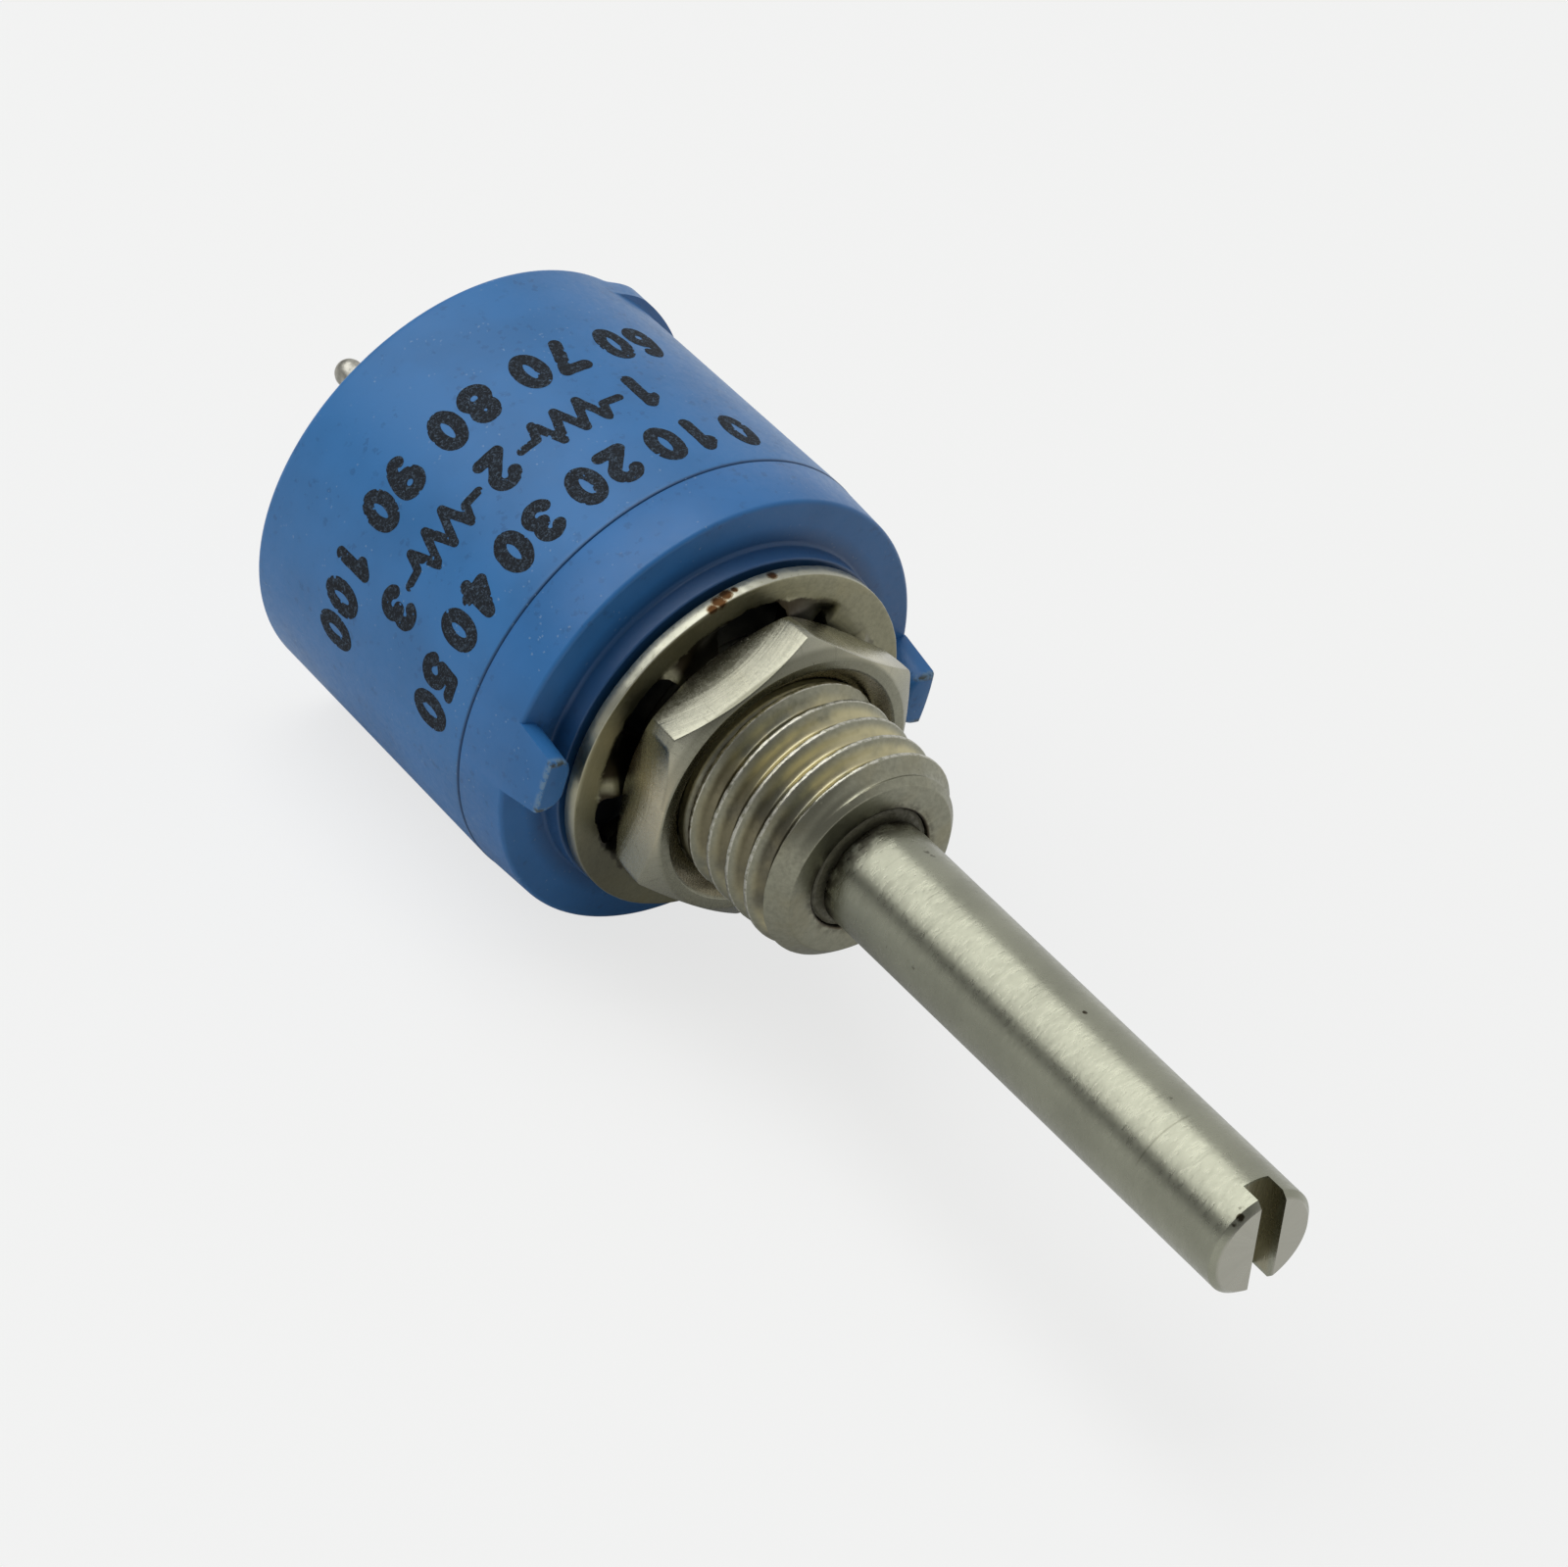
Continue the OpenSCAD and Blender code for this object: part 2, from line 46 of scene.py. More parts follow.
# Housing and cover
BODY_R = 6.68
RIM_R = 6.58
REAR_R = 6.53
REAR_ROUND = 0.15
SEAM_Z = -2.4
FACE_Z = -0.65
REAR_Z = -11.8
FLOOR_Z = -10.8
CAVITY_R = 5.2
RECESS_R = 5.77
RECESS_Z = -3.6
SPIGOT_R = 5.75
SPIGOT_IN_R = 4.82
SPIGOT_Z = -3.2
STOP_Z = -5.6
STOP_HALF = 16
STOP_OUT_R, STOP_IN_R = 4.9, 4.0
BOSS_R = 5.25
PIN_RING_R = 3.95
PIN_ANGLES = {"left": 140, "middle": 90, "right": 40}
PIN_R = 0.4
PIN_BEND = {"left": 0.25, "middle": 0.0, "right": 0.0}
SHANK_R = 0.56
PIN_HOLE_R = SHANK_R + 0.01
PIN_LEVELS = (-13.2, -12.7, -12.3)
PIN_TIP_Z = -13.95
ELEMENT_Z = -10.1
PAD_FROM, PAD_TO = 30, 66
PAD_LOW, PAD_HIGH, PAD_R = -11.62, -10.86, 6.78
SIDE_LEVELS = (-11.6, -11.5, -11.2, -10.96, -10.9, -10.86, -10.8, -10.6, -10.2, -9.4, -8.4, -7.4, -6.4, -5.4,
               -4.4, -3.5, -2.9, -2.6)
# Lugs
LUG_REACH = 0.75
LUG_ROOT_W = 2.1
LUG_TIP_W = 1.6
LUG_T = 0.95
LUG_OUT_R = 6.6
LUG_TIP_OUT_R = 6.545
# Bushing and thread
CREST_R = 3.135
PITCH = 0.79375
THREAD_DEPTH = 0.4
FILLED_DEPTH, FILLED_Z = 0.12, 2.75
CREST_HALF = 0.04
FLANK_SLOPE = 1.45
COARSE_WEAR, FINE_WEAR = 0.012, 0.006
ROOT_ROUND = 0.16
STEM_R = 2.917
FLANGE_R = 3.9
FLANGE_Z = -1.5
BUSH_END = 6.35
BUSH_END_R = 2.6
LEAD_IN_Z = 5.78
LEAD_IN_CURVE = 0.18
BORE_R = 1.6175
SEAL_BORE_R = 1.84
SEAL_BORE_Z = 5.25
CREST_Z, CREST_AT = 3.40, 118
THREAD_ROWS = 280
THREAD_BLEND = 0.05
# Washer and nut
WASHER_R = 5.22
WASHER_IN_R = 4.25
WASHER_MID = 0.4375
SHEET = 0.4
TEETH = 7
TOOTH_AT = 24
TOOTH_TIP_R = 3.3
TOOTH_TWIST = 18
TOOTH_HALF = 10.5
WASHER_EDGE = 0.035
RIM_WAVE = 0.012
NUT_AF = 7.94
NUT_LOW, NUT_HIGH = 0.875, 2.625
NUT_FACE_R = 3.9
NUT_SINK_R = 3.62
NUT_SINK = 0.55
NUT_SLOPE = 0.57
NUT_CROWN = 0.08
NUT_AT = 34
NUT_CORNER = 0.3
# Worn facets at two corners: middle angle, distance from the axis
NUT_FACETS = ((165, 4.42), (83, 4.44))
# Colours as they are written on the shaders
HOUSING_BLUE = (0.04, 0.196, 0.485)
COVER_BLUE = (0.034, 0.184, 0.475)
METAL = (0.265, 0.262, 0.198)
SHAFT_METAL = (0.285, 0.289, 0.226)
WASHER_METAL = (0.25, 0.24, 0.16)
PIN_METAL = (0.42, 0.41, 0.36)
# Rust spots on the washer's edge: angle, z, size
RUST_SPOTS = ((116.4, 0.6, 0.26), (113.4, 0.5, 0.34), (110.3, 0.42, 0.3), (107.2, 0.4, 0.16),
              (94.2, 0.43, 0.24))
# Teeth whose root stays free of the painted shade and dirt: angle and half width
UNSHADED_TEETH = ((50, 34), (138.5, 4.5), (-174, 4.5))
# Shaft
SHAFT_R = 1.5875
SHAFT_LOW = -8.6
SHAFT_END = 22.225
TIP_BEVEL = 0.18
GROOVE_R = 1.25
SLOT_W = 0.8
SLOT_DEPTH = 0.75
SLOT_OFFSET = 0.12
SLOT_AT = 102
FLAT_DEPTH = 0.4
CLIP_GROOVE = (-3.0, -2.57)
SEAL_GROOVE = (5.37, 6.45)
# Shaft seal's section: middle, half width and half height
SEAL_MID_R, SEAL_MID_Z = 1.548, 5.98
SEAL_HALF_W, SEAL_HALF_H = 0.285, 0.31
SEAL_BOXY = 0.3
# Dark marks on the shaft (angle, z, size) and one fine scratch round it (angle, z)
SHAFT_MARKS = ((94.2, 14.62, 0.11), (135.0, 22.13, 0.2), (142.9, 22.15, 0.16))
SHAFT_SCRATCH = (132, 18.88)


def to_world(x, y, z):
    return Vector((x, -z, y)) * MM


def unit(angle):
    """Place at a distance of 1 from the shaft's axis, at an angle in degrees."""
    return math.cos(math.radians(angle)), math.sin(math.radians(angle))


def polar(r, angle, z):
    x, y = unit(angle)
    return to_world(r * x, r * y, z)


def smooth(low, high, value):
    t = min(1.0, max(0.0, (value - low) / (high - low)))
    return t * t * (3 - 2 * t)


def mix(a, b, t):
    return a + (b - a) * t


def rough(x, y, z, scale, depth=3):
    return noise.fractal(Vector((x, y, z)) * scale, 0.6, 2.0, depth)


def rounded(corners):
    """Outline through corners (r, z, fillet, steps), each fillet drawn as an arc."""
    out = []
    count = len(corners)
    for i, (r, z, fillet, steps) in enumerate(corners):
        here = Vector((r, z))
        if fillet <= 0:
            out.append((r, z))
            continue
        before = Vector(corners[i - 1][:2]) - here
        after = Vector(corners[(i + 1) % count][:2]) - here
        before.normalize()
        after.normalize()
        half = before.angle(after) / 2
        reach = fillet / math.tan(half)
        middle = here + (before + after).normalized() * fillet / math.sin(half)
        start = here + before * reach - middle
        end = here + after * reach - middle
        turn = start.angle_signed(end)
        for k in range(steps + 1):
            point = start.copy()
            point.rotate(Matrix.Rotation(-turn * k / steps, 2))
            point += middle
            out.append((point.x, point.y))
    return out


def link(name, mesh):
    piece = bpy.data.objects.new(name, mesh)
    bpy.context.scene.collection.objects.link(piece)
    return piece


def mesh_piece(name, points, faces):
    mesh = bpy.data.meshes.new(name)
    mesh.from_pydata(points, [], faces)
    shell = bmesh.new()
    shell.from_mesh(mesh)
    bmesh.ops.recalc_face_normals(shell, faces=shell.faces)
    shell.to_mesh(mesh)
    shell.free()
    return link(name, mesh)


def band(a, b, count, closed=True):
    """Faces between two rings, or two open rows, whose first points are a and b."""
    sides = count if closed else count - 1
    return [(a + k, a + (k + 1) % count, b + (k + 1) % count, b + k) for k in range(sides)]


def turned(name, outline, angles):
    """Sweeps outline(angle), a closed loop of (r, z), round the shaft's axis."""
    rows = [outline(a) for a in angles]
    count = len(rows[0])
    turns = len(angles)
    points = [polar(r, a, z) for a, row in zip(angles, rows) for r, z in row]
    faces = []
    for i in range(turns):
        faces += band(i * count, (i + 1) % turns * count, count)
    return mesh_piece(name, points, faces)


def turned_solid(name, outline, angles):
    """Sweeps outline(angle), which starts and ends on the shaft's axis, round that axis."""
    rows = [outline(a) for a in angles]
    count = len(rows[0]) - 2
    turns = len(angles)
    points = [polar(r, a, z) for a, row in zip(angles, rows) for r, z in row[1:-1]]
    first = len(points)
    points += [to_world(0, 0, rows[0][0][1]), to_world(0, 0, rows[0][-1][1])]
    faces = []
    for i in range(turns):
        a, b = i * count, (i + 1) % turns * count
        faces.append((first, a, b))
        faces.append((first + 1, b + count - 1, a + count - 1))
        faces += band(a, b, count, closed=False)
    return mesh_piece(name, points, faces)


def even(steps):
    return [360.0 * i / steps for i in range(steps)]


def finish_shading(piece):
    piece.data.polygons.foreach_set("use_smooth", [True] * len(piece.data.polygons))
    piece.data.set_sharp_from_angle(angle=math.radians(SHARP_ANGLE))
    weighted = piece.modifiers.new("weighted", "WEIGHTED_NORMAL")
    weighted.keep_sharp = True
    weighted.weight = 100


def apply_modifiers(piece):
    graph = bpy.context.evaluated_depsgraph_get()
    mesh = bpy.data.meshes.new_from_object(piece.evaluated_get(graph))
    piece.modifiers.clear()
    old = piece.data
    piece.data = mesh
    bpy.data.meshes.remove(old)


def combine(piece, other, operation):
    boolean = piece.modifiers.new("combine", "BOOLEAN")
    boolean.operation = operation
    boolean.solver = "EXACT"
    boolean.object = other
    apply_modifiers(piece)
    bpy.data.objects.remove(other)


def prism(name, outline, low, high):
    """Straight piece whose outline, a list of world points, is moved by low and by high."""
    count = len(outline)
    points = [p + low for p in outline] + [p + high for p in outline]
    faces = [tuple(range(count)), tuple(range(count, 2 * count))]
    return mesh_piece(name, points, faces + band(0, count, count))


def box_piece(name, low, high, angle=0):
    """Box between two corners in shaft coordinates, turned round the shaft's axis."""
    turn = Matrix.Rotation(-math.radians(angle), 4, "Y")
    points = [turn @ to_world(x, y, z) for x in (low[0], high[0]) for y in (low[1], high[1])
              for z in (low[2], high[2])]
    faces = [(0, 1, 3, 2), (4, 5, 7, 6), (0, 1, 5, 4), (2, 3, 7, 6), (0, 2, 6, 4), (1, 3, 7, 5)]
    return mesh_piece(name, points, faces)


def side_r(z):
    return mix(BODY_R, REAR_R, (SEAM_Z - z) / (SEAM_Z - REAR_Z))


def pad_height(angle, z):
    """How far the low pad stands out of the housing's side."""
    across = smooth(PAD_FROM - 1.5, PAD_FROM + 1.5, angle) * (1 - smooth(PAD_TO - 13, PAD_TO + 1, angle))
    along = smooth(PAD_LOW - 0.04, PAD_LOW + 0.1, z) * (1 - smooth(PAD_HIGH - 0.03, PAD_HIGH + 0.01, z))
    return (PAD_R - side_r(z)) * across * along


def housing_outline(angle):
    corners = rounded([
        (0, REAR_Z, 0, 0), (REAR_R, REAR_Z, REAR_ROUND, 7), (BODY_R, SEAM_Z, 0.05, 4),
        (RECESS_R, SEAM_Z, 0.03, 2), (RECESS_R, RECESS_Z, 0, 0), (CAVITY_R, RECESS_Z, 0.05, 2),
        (CAVITY_R, FLOOR_Z, 0.1, 3), (0, FLOOR_Z, 0, 0)])
    out = []
    for (r, z), after in zip(corners, corners[1:] + corners[-1:]):
        out.append((r, z))
        long_side = r > 6.3 and after[1] - z > 2
        if long_side:
            out += [(side_r(level) + pad_height(angle, level), level) for level in SIDE_LEVELS]
    return out


def cover_outline(angle):
    hole, flange = STEM_R + 0.01, FLANGE_R + 0.01
    return rounded([
        (BODY_R - 0.015, SEAM_Z, 0.04, 3), (RIM_R, FACE_Z, 0.13, 6), (BOSS_R, FACE_Z, 0.12, 4),
        (BOSS_R, 0, 0.06, 3), (hole, 0, 0.05, 2), (hole, FLANGE_Z, 0, 0), (flange, FLANGE_Z, 0, 0),
        (flange, SEAM_Z, 0, 0), (SPIGOT_IN_R, SEAM_Z, 0, 0), (SPIGOT_IN_R, SPIGOT_Z, 0.05, 2),
        (SPIGOT_R, SPIGOT_Z, 0.05, 2), (SPIGOT_R, SEAM_Z, 0, 0)])


def lug_ring(half, outer, inner):
    """Section of a lug: round outside, flat inside, with well rounded inner corners."""
    arcs, turns = 8, 6
    ring = []
    for k in range(arcs + 1):
        y = half - 2 * half * k / arcs
        ring.append((math.sqrt(outer ** 2 - y * y), y))
    side = math.sqrt(outer ** 2 - half * half)
    deep = (side - inner) * 0.8
    wide = half * 0.62
    quarter = [unit(90 * k / turns) for k in range(turns + 1)]
    ring += [(inner + deep * (1 - s), -half + wide * (1 - c)) for c, s in quarter]
    ring += [(inner + deep * (1 - c), half - wide * (1 - s)) for c, s in quarter]
    return ring


def lug(name, side):
    """One lug, tapered towards its tip; it grows out of the cover's side without a step."""
    tip, root = LUG_TIP_W / 2, LUG_ROOT_W / 2
    inner = LUG_OUT_R - LUG_T
    stations = [(FACE_Z - 0.4, root, 6.57, inner), (FACE_Z - 0.1, root, LUG_OUT_R - 0.005, inner),
                (FACE_Z + 0.02, root, LUG_OUT_R - 0.005, inner),
                (LUG_REACH - 0.12, tip + 0.02, LUG_TIP_OUT_R, inner + 0.05),
                (LUG_REACH - 0.05, tip - 0.01, LUG_TIP_OUT_R - 0.02, inner + 0.1),
                (LUG_REACH - 0.012, tip - 0.05, LUG_TIP_OUT_R - 0.05, inner + 0.16),
                (LUG_REACH, tip - 0.1, LUG_TIP_OUT_R - 0.1, inner + 0.22)]
    points, faces = [], []
    for z, half, outer, low in stations:
        points += [to_world(x * side, y * side, z) for x, y in lug_ring(half, outer, low)]
    count = len(points) // len(stations)
    last = len(points) - count
    for a in range(0, last, count):
        faces += band(a, a + count, count)
    faces.append(tuple(range(count)))
    faces.append(tuple(range(last, len(points))))
    return mesh_piece(name, points, faces)


def thread_radius(angle, z):
    """Radius of the thread's surface at an angle and a station."""
    crest = CREST_Z + PITCH * (angle - CREST_AT) / 360
    turn = (z - crest) / PITCH
    off = abs(turn - round(turn)) * PITCH
    flank = max(0.0, off - CREST_HALF) * FLANK_SLOPE
    blend = max(ROOT_ROUND - abs(flank - THREAD_DEPTH), 0) / ROOT_ROUND
    drop = min(flank, THREAD_DEPTH) - blend * blend * ROOT_ROUND / 4
    drop = min(drop, mix(FILLED_DEPTH, THREAD_DEPTH, smooth(FILLED_Z - 0.4, FILLED_Z, z)))
    x, y = unit(angle)
    x, y = 3.2 * x, 3.2 * y
    wear = abs(rough(x, y, z, 2.6)) * COARSE_WEAR + abs(rough(x, y, z, 9.0)) * FINE_WEAR
    return CREST_R - max(0.0, drop) - wear * (1 if off < 0.12 else 0.3)


def lead_in_radius(z):
    """Radius of the bevel at the bushing's end, slightly convex."""
    t = max(0.0, (z - LEAD_IN_Z) / (BUSH_END - LEAD_IN_Z))
    return CREST_R - (CREST_R - BUSH_END_R) * mix(t, t * t, LEAD_IN_CURVE)


def bushing_outline(angle):
    """Bore, rounded lip, bevel, thread and flange."""
    lip = rounded([(SEAL_BORE_R, SEAL_BORE_Z, 0, 0), (SEAL_BORE_R, BUSH_END, 0.07, 4),
                   (BUSH_END_R, BUSH_END, 0.09, 5), (lead_in_radius(6.0), 6.0, 0, 0)])
    out = lip[:-1]
    for k in range(THREAD_ROWS + 1):
        z = mix(6.2, 0.15, k / THREAD_ROWS)
        thread, bevel = thread_radius(angle, z), lead_in_radius(z)
        blend = max(THREAD_BLEND - abs(thread - bevel), 0) / THREAD_BLEND
        r = min(thread, bevel) - blend * blend * THREAD_BLEND / 4
        out.append((mix(STEM_R, r, smooth(0.15, 0.5, z)), z))
    out += [(STEM_R, 0.1), (STEM_R, FLANGE_Z), (FLANGE_R, FLANGE_Z), (FLANGE_R, SEAM_Z), (BORE_R, SEAM_Z),
            (BORE_R, SEAL_BORE_Z)]
    return out


def hex_radius(angle):
    """Radius of the nut's side at an angle, with slightly turned corners."""
    off = (angle - NUT_AT + 30) % 60 - 30
    t = math.radians(abs(off))
    reach = (NUT_AF / 2 - NUT_CORNER) / math.cos(math.radians(30))
    limit = math.atan2(NUT_CORNER * 0.5, reach + NUT_CORNER * math.cos(math.radians(30)))
    if t < limit:
        side = reach * math.cos(t) + math.sqrt(max(0, NUT_CORNER ** 2 - (reach * math.sin(t)) ** 2))
    else:
        side = NUT_AF / 2 / math.cos(math.radians(30) - t)
    for middle, distance in NUT_FACETS:
        if abs(angle - middle) < 20:
            side = min(side, distance / math.cos(math.radians(angle - middle)))
    return side


def nut_angles():
    offs = [0, 0.5, 1, 1.4, 1.8, 2.6, 4, 6, 8, 10, 12, 14, 16, 18, 20, 22, 24, 26, 28]
    out = []
    for corner in range(6):
        middle = NUT_AT + corner * 60
        out += [middle - o for o in reversed(offs[1:])] + [middle + o for o in offs] + [middle + 30]
    return out


def nut_outline(angle):
    """Bevelled faces, flats that fall off a little towards the back, countersink and thread."""
    side = hex_radius(angle)
    drop = NUT_SLOPE * (side - NUT_FACE_R)
    low, high = NUT_LOW + drop, NUT_HIGH - drop
    crown = []
    for k in range(1, 7):
        t = k / 7
        crown.append((side - NUT_CROWN * max(0, 1 - 1.1 * t) ** 2, mix(low, high, t), 0, 0))
    shell = rounded([
        (NUT_FACE_R, NUT_LOW, 0.05, 2), (side - NUT_CROWN, low, 0.04, 3), *crown, (side, high, 0.04, 3),
        (NUT_FACE_R, NUT_HIGH, 0.05, 3), (NUT_SINK_R, NUT_HIGH, 0.05, 3),
        (STEM_R + 0.02, NUT_HIGH - NUT_SINK, 0, 0)])
    out = shell[:-1]
    rows = 60
    for k in range(rows + 1):
        z = mix(NUT_HIGH - 0.04, NUT_LOW + 0.02, k / rows)
        along = min(1.0, max(0.0, (z - NUT_HIGH + NUT_SINK) / NUT_SINK))
        cone = mix(STEM_R, NUT_SINK_R, along)
        out.append((max(cone, thread_radius(angle, z) + 0.03), z))
    return out


def gap_radius(angle, off):
    """Inner radius of the washer's rim between two teeth, ragged and narrow on one side."""
    x, y = unit(angle)
    ragged = 0.07 * rough(4 * x, 4 * y, 1.0, 1.6) + 0.03 * rough(4 * x, 4 * y, 1.0, 5.0)
    wide = 1 - smooth(25, 36, angle) * (1 - smooth(66, 76, angle))
    middle = mix(WASHER_IN_R - 0.45, WASHER_IN_R + 0.2, wide)
    return mix(WASHER_IN_R - 0.05, middle, smooth(TOOTH_HALF, 18, abs(off))) + ragged


def washer_outline(angle):
    """Flat rim with twisted teeth that reach in to the bushing."""
    pitch = 360 / TEETH
    off = (angle - TOOTH_AT + pitch / 2) % pitch - pitch / 2
    tooth = 1 - smooth(TOOTH_HALF, 13, abs(off))
    inner = mix(gap_radius(angle, off), TOOTH_TIP_R, tooth)
    x, y = unit(angle)
    outer = WASHER_R - RIM_WAVE + RIM_WAVE * rough(5 * x, 5 * y, 3.0, 1.2)
    slope = math.tan(math.radians(TOOTH_TWIST)) * 0.9 * (1 - smooth(12.5, 17, abs(off)))
    across = math.sin(math.radians(max(-13, min(13, off))))

    def lift(r):
        return slope * r * across * (1 - smooth(4.0, 4.5, r))

    edge = WASHER_EDGE
    front, back = WASHER_MID + SHEET / 2, WASHER_MID - SHEET / 2
    rows = 15
    top, low = [], []
    for k in range(rows + 1):
        r = mix(outer - edge, inner + edge * 0.6, k / rows)
        top.append((r, front + lift(r)))
        low.append((r, back + lift(r)))
    nose_out = [(outer - edge * 0.3, back + edge * 0.3), (outer, back + edge), (outer, front - edge),
                (outer - edge * 0.3, front - edge * 0.3)]
    nose_in = [(inner, front - edge + lift(inner)), (inner, back + edge + lift(inner))]
    return top + nose_in + low[::-1] + nose_out


def shaft_outline(angle):
    clip_low, clip_high = CLIP_GROOVE
    seal_low, seal_high = SEAL_GROOVE
    return rounded([
        (0, SHAFT_LOW, 0, 0), (SHAFT_R, SHAFT_LOW, 0.08, 3), (SHAFT_R, clip_low, 0, 0),
        (GROOVE_R, clip_low, 0, 0), (GROOVE_R, clip_high, 0, 0), (SHAFT_R, clip_high, 0, 0),
        (SHAFT_R, seal_low, 0.03, 2), (GROOVE_R, seal_low, 0.05, 2), (GROOVE_R, seal_high, 0.05, 2),
        (SHAFT_R, seal_high, 0.05, 3), (SHAFT_R, SHAFT_END - TIP_BEVEL, 0.04, 3),
        (SHAFT_R - TIP_BEVEL, SHAFT_END, 0.04, 3), (0, SHAFT_END, 0, 0)])


def seal_outline(angle):
    """Rubber ring, swollen and wavy where it shows in the bushing's mouth."""
    out = []
    x, y = unit(angle)
    steps = 40
    for k in range(steps):
        c, s = unit(360 * k / steps)
        swell = 1 + 0.05 * rough(2 * x, 2 * y, k * 0.1, 2.2)
        r = SEAL_MID_R + SEAL_HALF_W * min(1.0, swell) * math.copysign(abs(c) ** SEAL_BOXY, c)
        z = SEAL_MID_Z + SEAL_HALF_H * swell * math.copysign(abs(s) ** SEAL_BOXY, s)
        wave = 0.018 * math.sin(38 * r + 1.4 * rough(2 * x, 2 * y, 4.0, 1.5)) if s > 0.3 else 0.0
        out.append((r, z + wave))
    return out


def pin_piece(side, angle):
    """Tinned pin with a rounded tip, a fillet and a thicker shank; it may be bent a little outward."""
    outline = rounded([
        (0, PIN_TIP_Z, 0, 0), (PIN_R, PIN_TIP_Z, 0.36, 8), *((PIN_R, z, 0, 0) for z in PIN_LEVELS),
        (PIN_R, REAR_Z - 0.05, 0.06, 3), (SHANK_R, REAR_Z - 0.05, 0.03, 2),
        (SHANK_R, ELEMENT_Z, 0.02, 2), (0, ELEMENT_Z, 0, 0)])
    piece = turned_solid("visual_pin_" + side, lambda a: outline, even(48))
    outward = polar(1, angle, 0)
    for vertex in piece.data.vertices:
        reach = max(0.0, (REAR_Z + vertex.co.y / MM) / (REAR_Z - PIN_TIP_Z))
        vertex.co += outward * (PIN_RING_R + PIN_BEND[side] * reach ** 1.4)
    return piece


def make_housing():
    piece = turned_solid("visual_housing", housing_outline, even(240))
    for angle in PIN_ANGLES.values():
        x, y = (PIN_RING_R * part for part in unit(angle))
        ring = [to_world(x + PIN_HOLE_R * c, y + PIN_HOLE_R * s, 0) for c, s in map(unit, even(48))]
        hole = prism("hole", ring, to_world(0, 0, REAR_Z - 0.2), to_world(0, 0, FLOOR_Z + 0.2))
        combine(piece, hole, "DIFFERENCE")
    return piece


def make_cover():
    piece = turned("visual_cover", cover_outline, even(240))
    for index, side in enumerate((1, -1)):
        combine(piece, lug("lug_%d" % index, side), "UNION")
    steps = list(range(-STOP_HALF, STOP_HALF + 1, 4))
    ring = [polar(STOP_OUT_R, 90 + a, 0) for a in steps] + [polar(STOP_IN_R, 90 + a, 0) for a in steps[::-1]]
    combine(piece, prism("stop", ring, to_world(0, 0, STOP_Z), to_world(0, 0, SEAM_Z + 0.1)), "UNION")
    return piece


def make_shaft():
    piece = turned_solid("visual_shaft", shaft_outline, even(160))
    cutter = box_piece("slot", (-2, -SLOT_W / 2 - SLOT_OFFSET, SHAFT_END - SLOT_DEPTH),
                       (2, SLOT_W / 2 - SLOT_OFFSET, SHAFT_END + 1), SLOT_AT)
    combine(piece, cutter, "DIFFERENCE")
    cutter = box_piece("flat", (-2, SHAFT_R - FLAT_DEPTH, SHAFT_LOW - 1), (2, 3, CLIP_GROOVE[0] - 0.04))
    combine(piece, cutter, "DIFFERENCE")
    return piece


def feed(tree, socket, value):
    """Links a node's output to the socket, or sets the socket to a plain value."""
    if isinstance(value, bpy.types.NodeSocket):
        tree.links.new(value, socket)
    else:
        socket.default_value = value


def add_math(tree, operation, a, b=0.0):
    node = tree.nodes.new("ShaderNodeMath")
    node.operation = operation
    feed(tree, node.inputs[0], a)
    feed(tree, node.inputs[1], b)
    return node.outputs[0]


def scaled(colour, share):
    return tuple(c * share for c in colour)


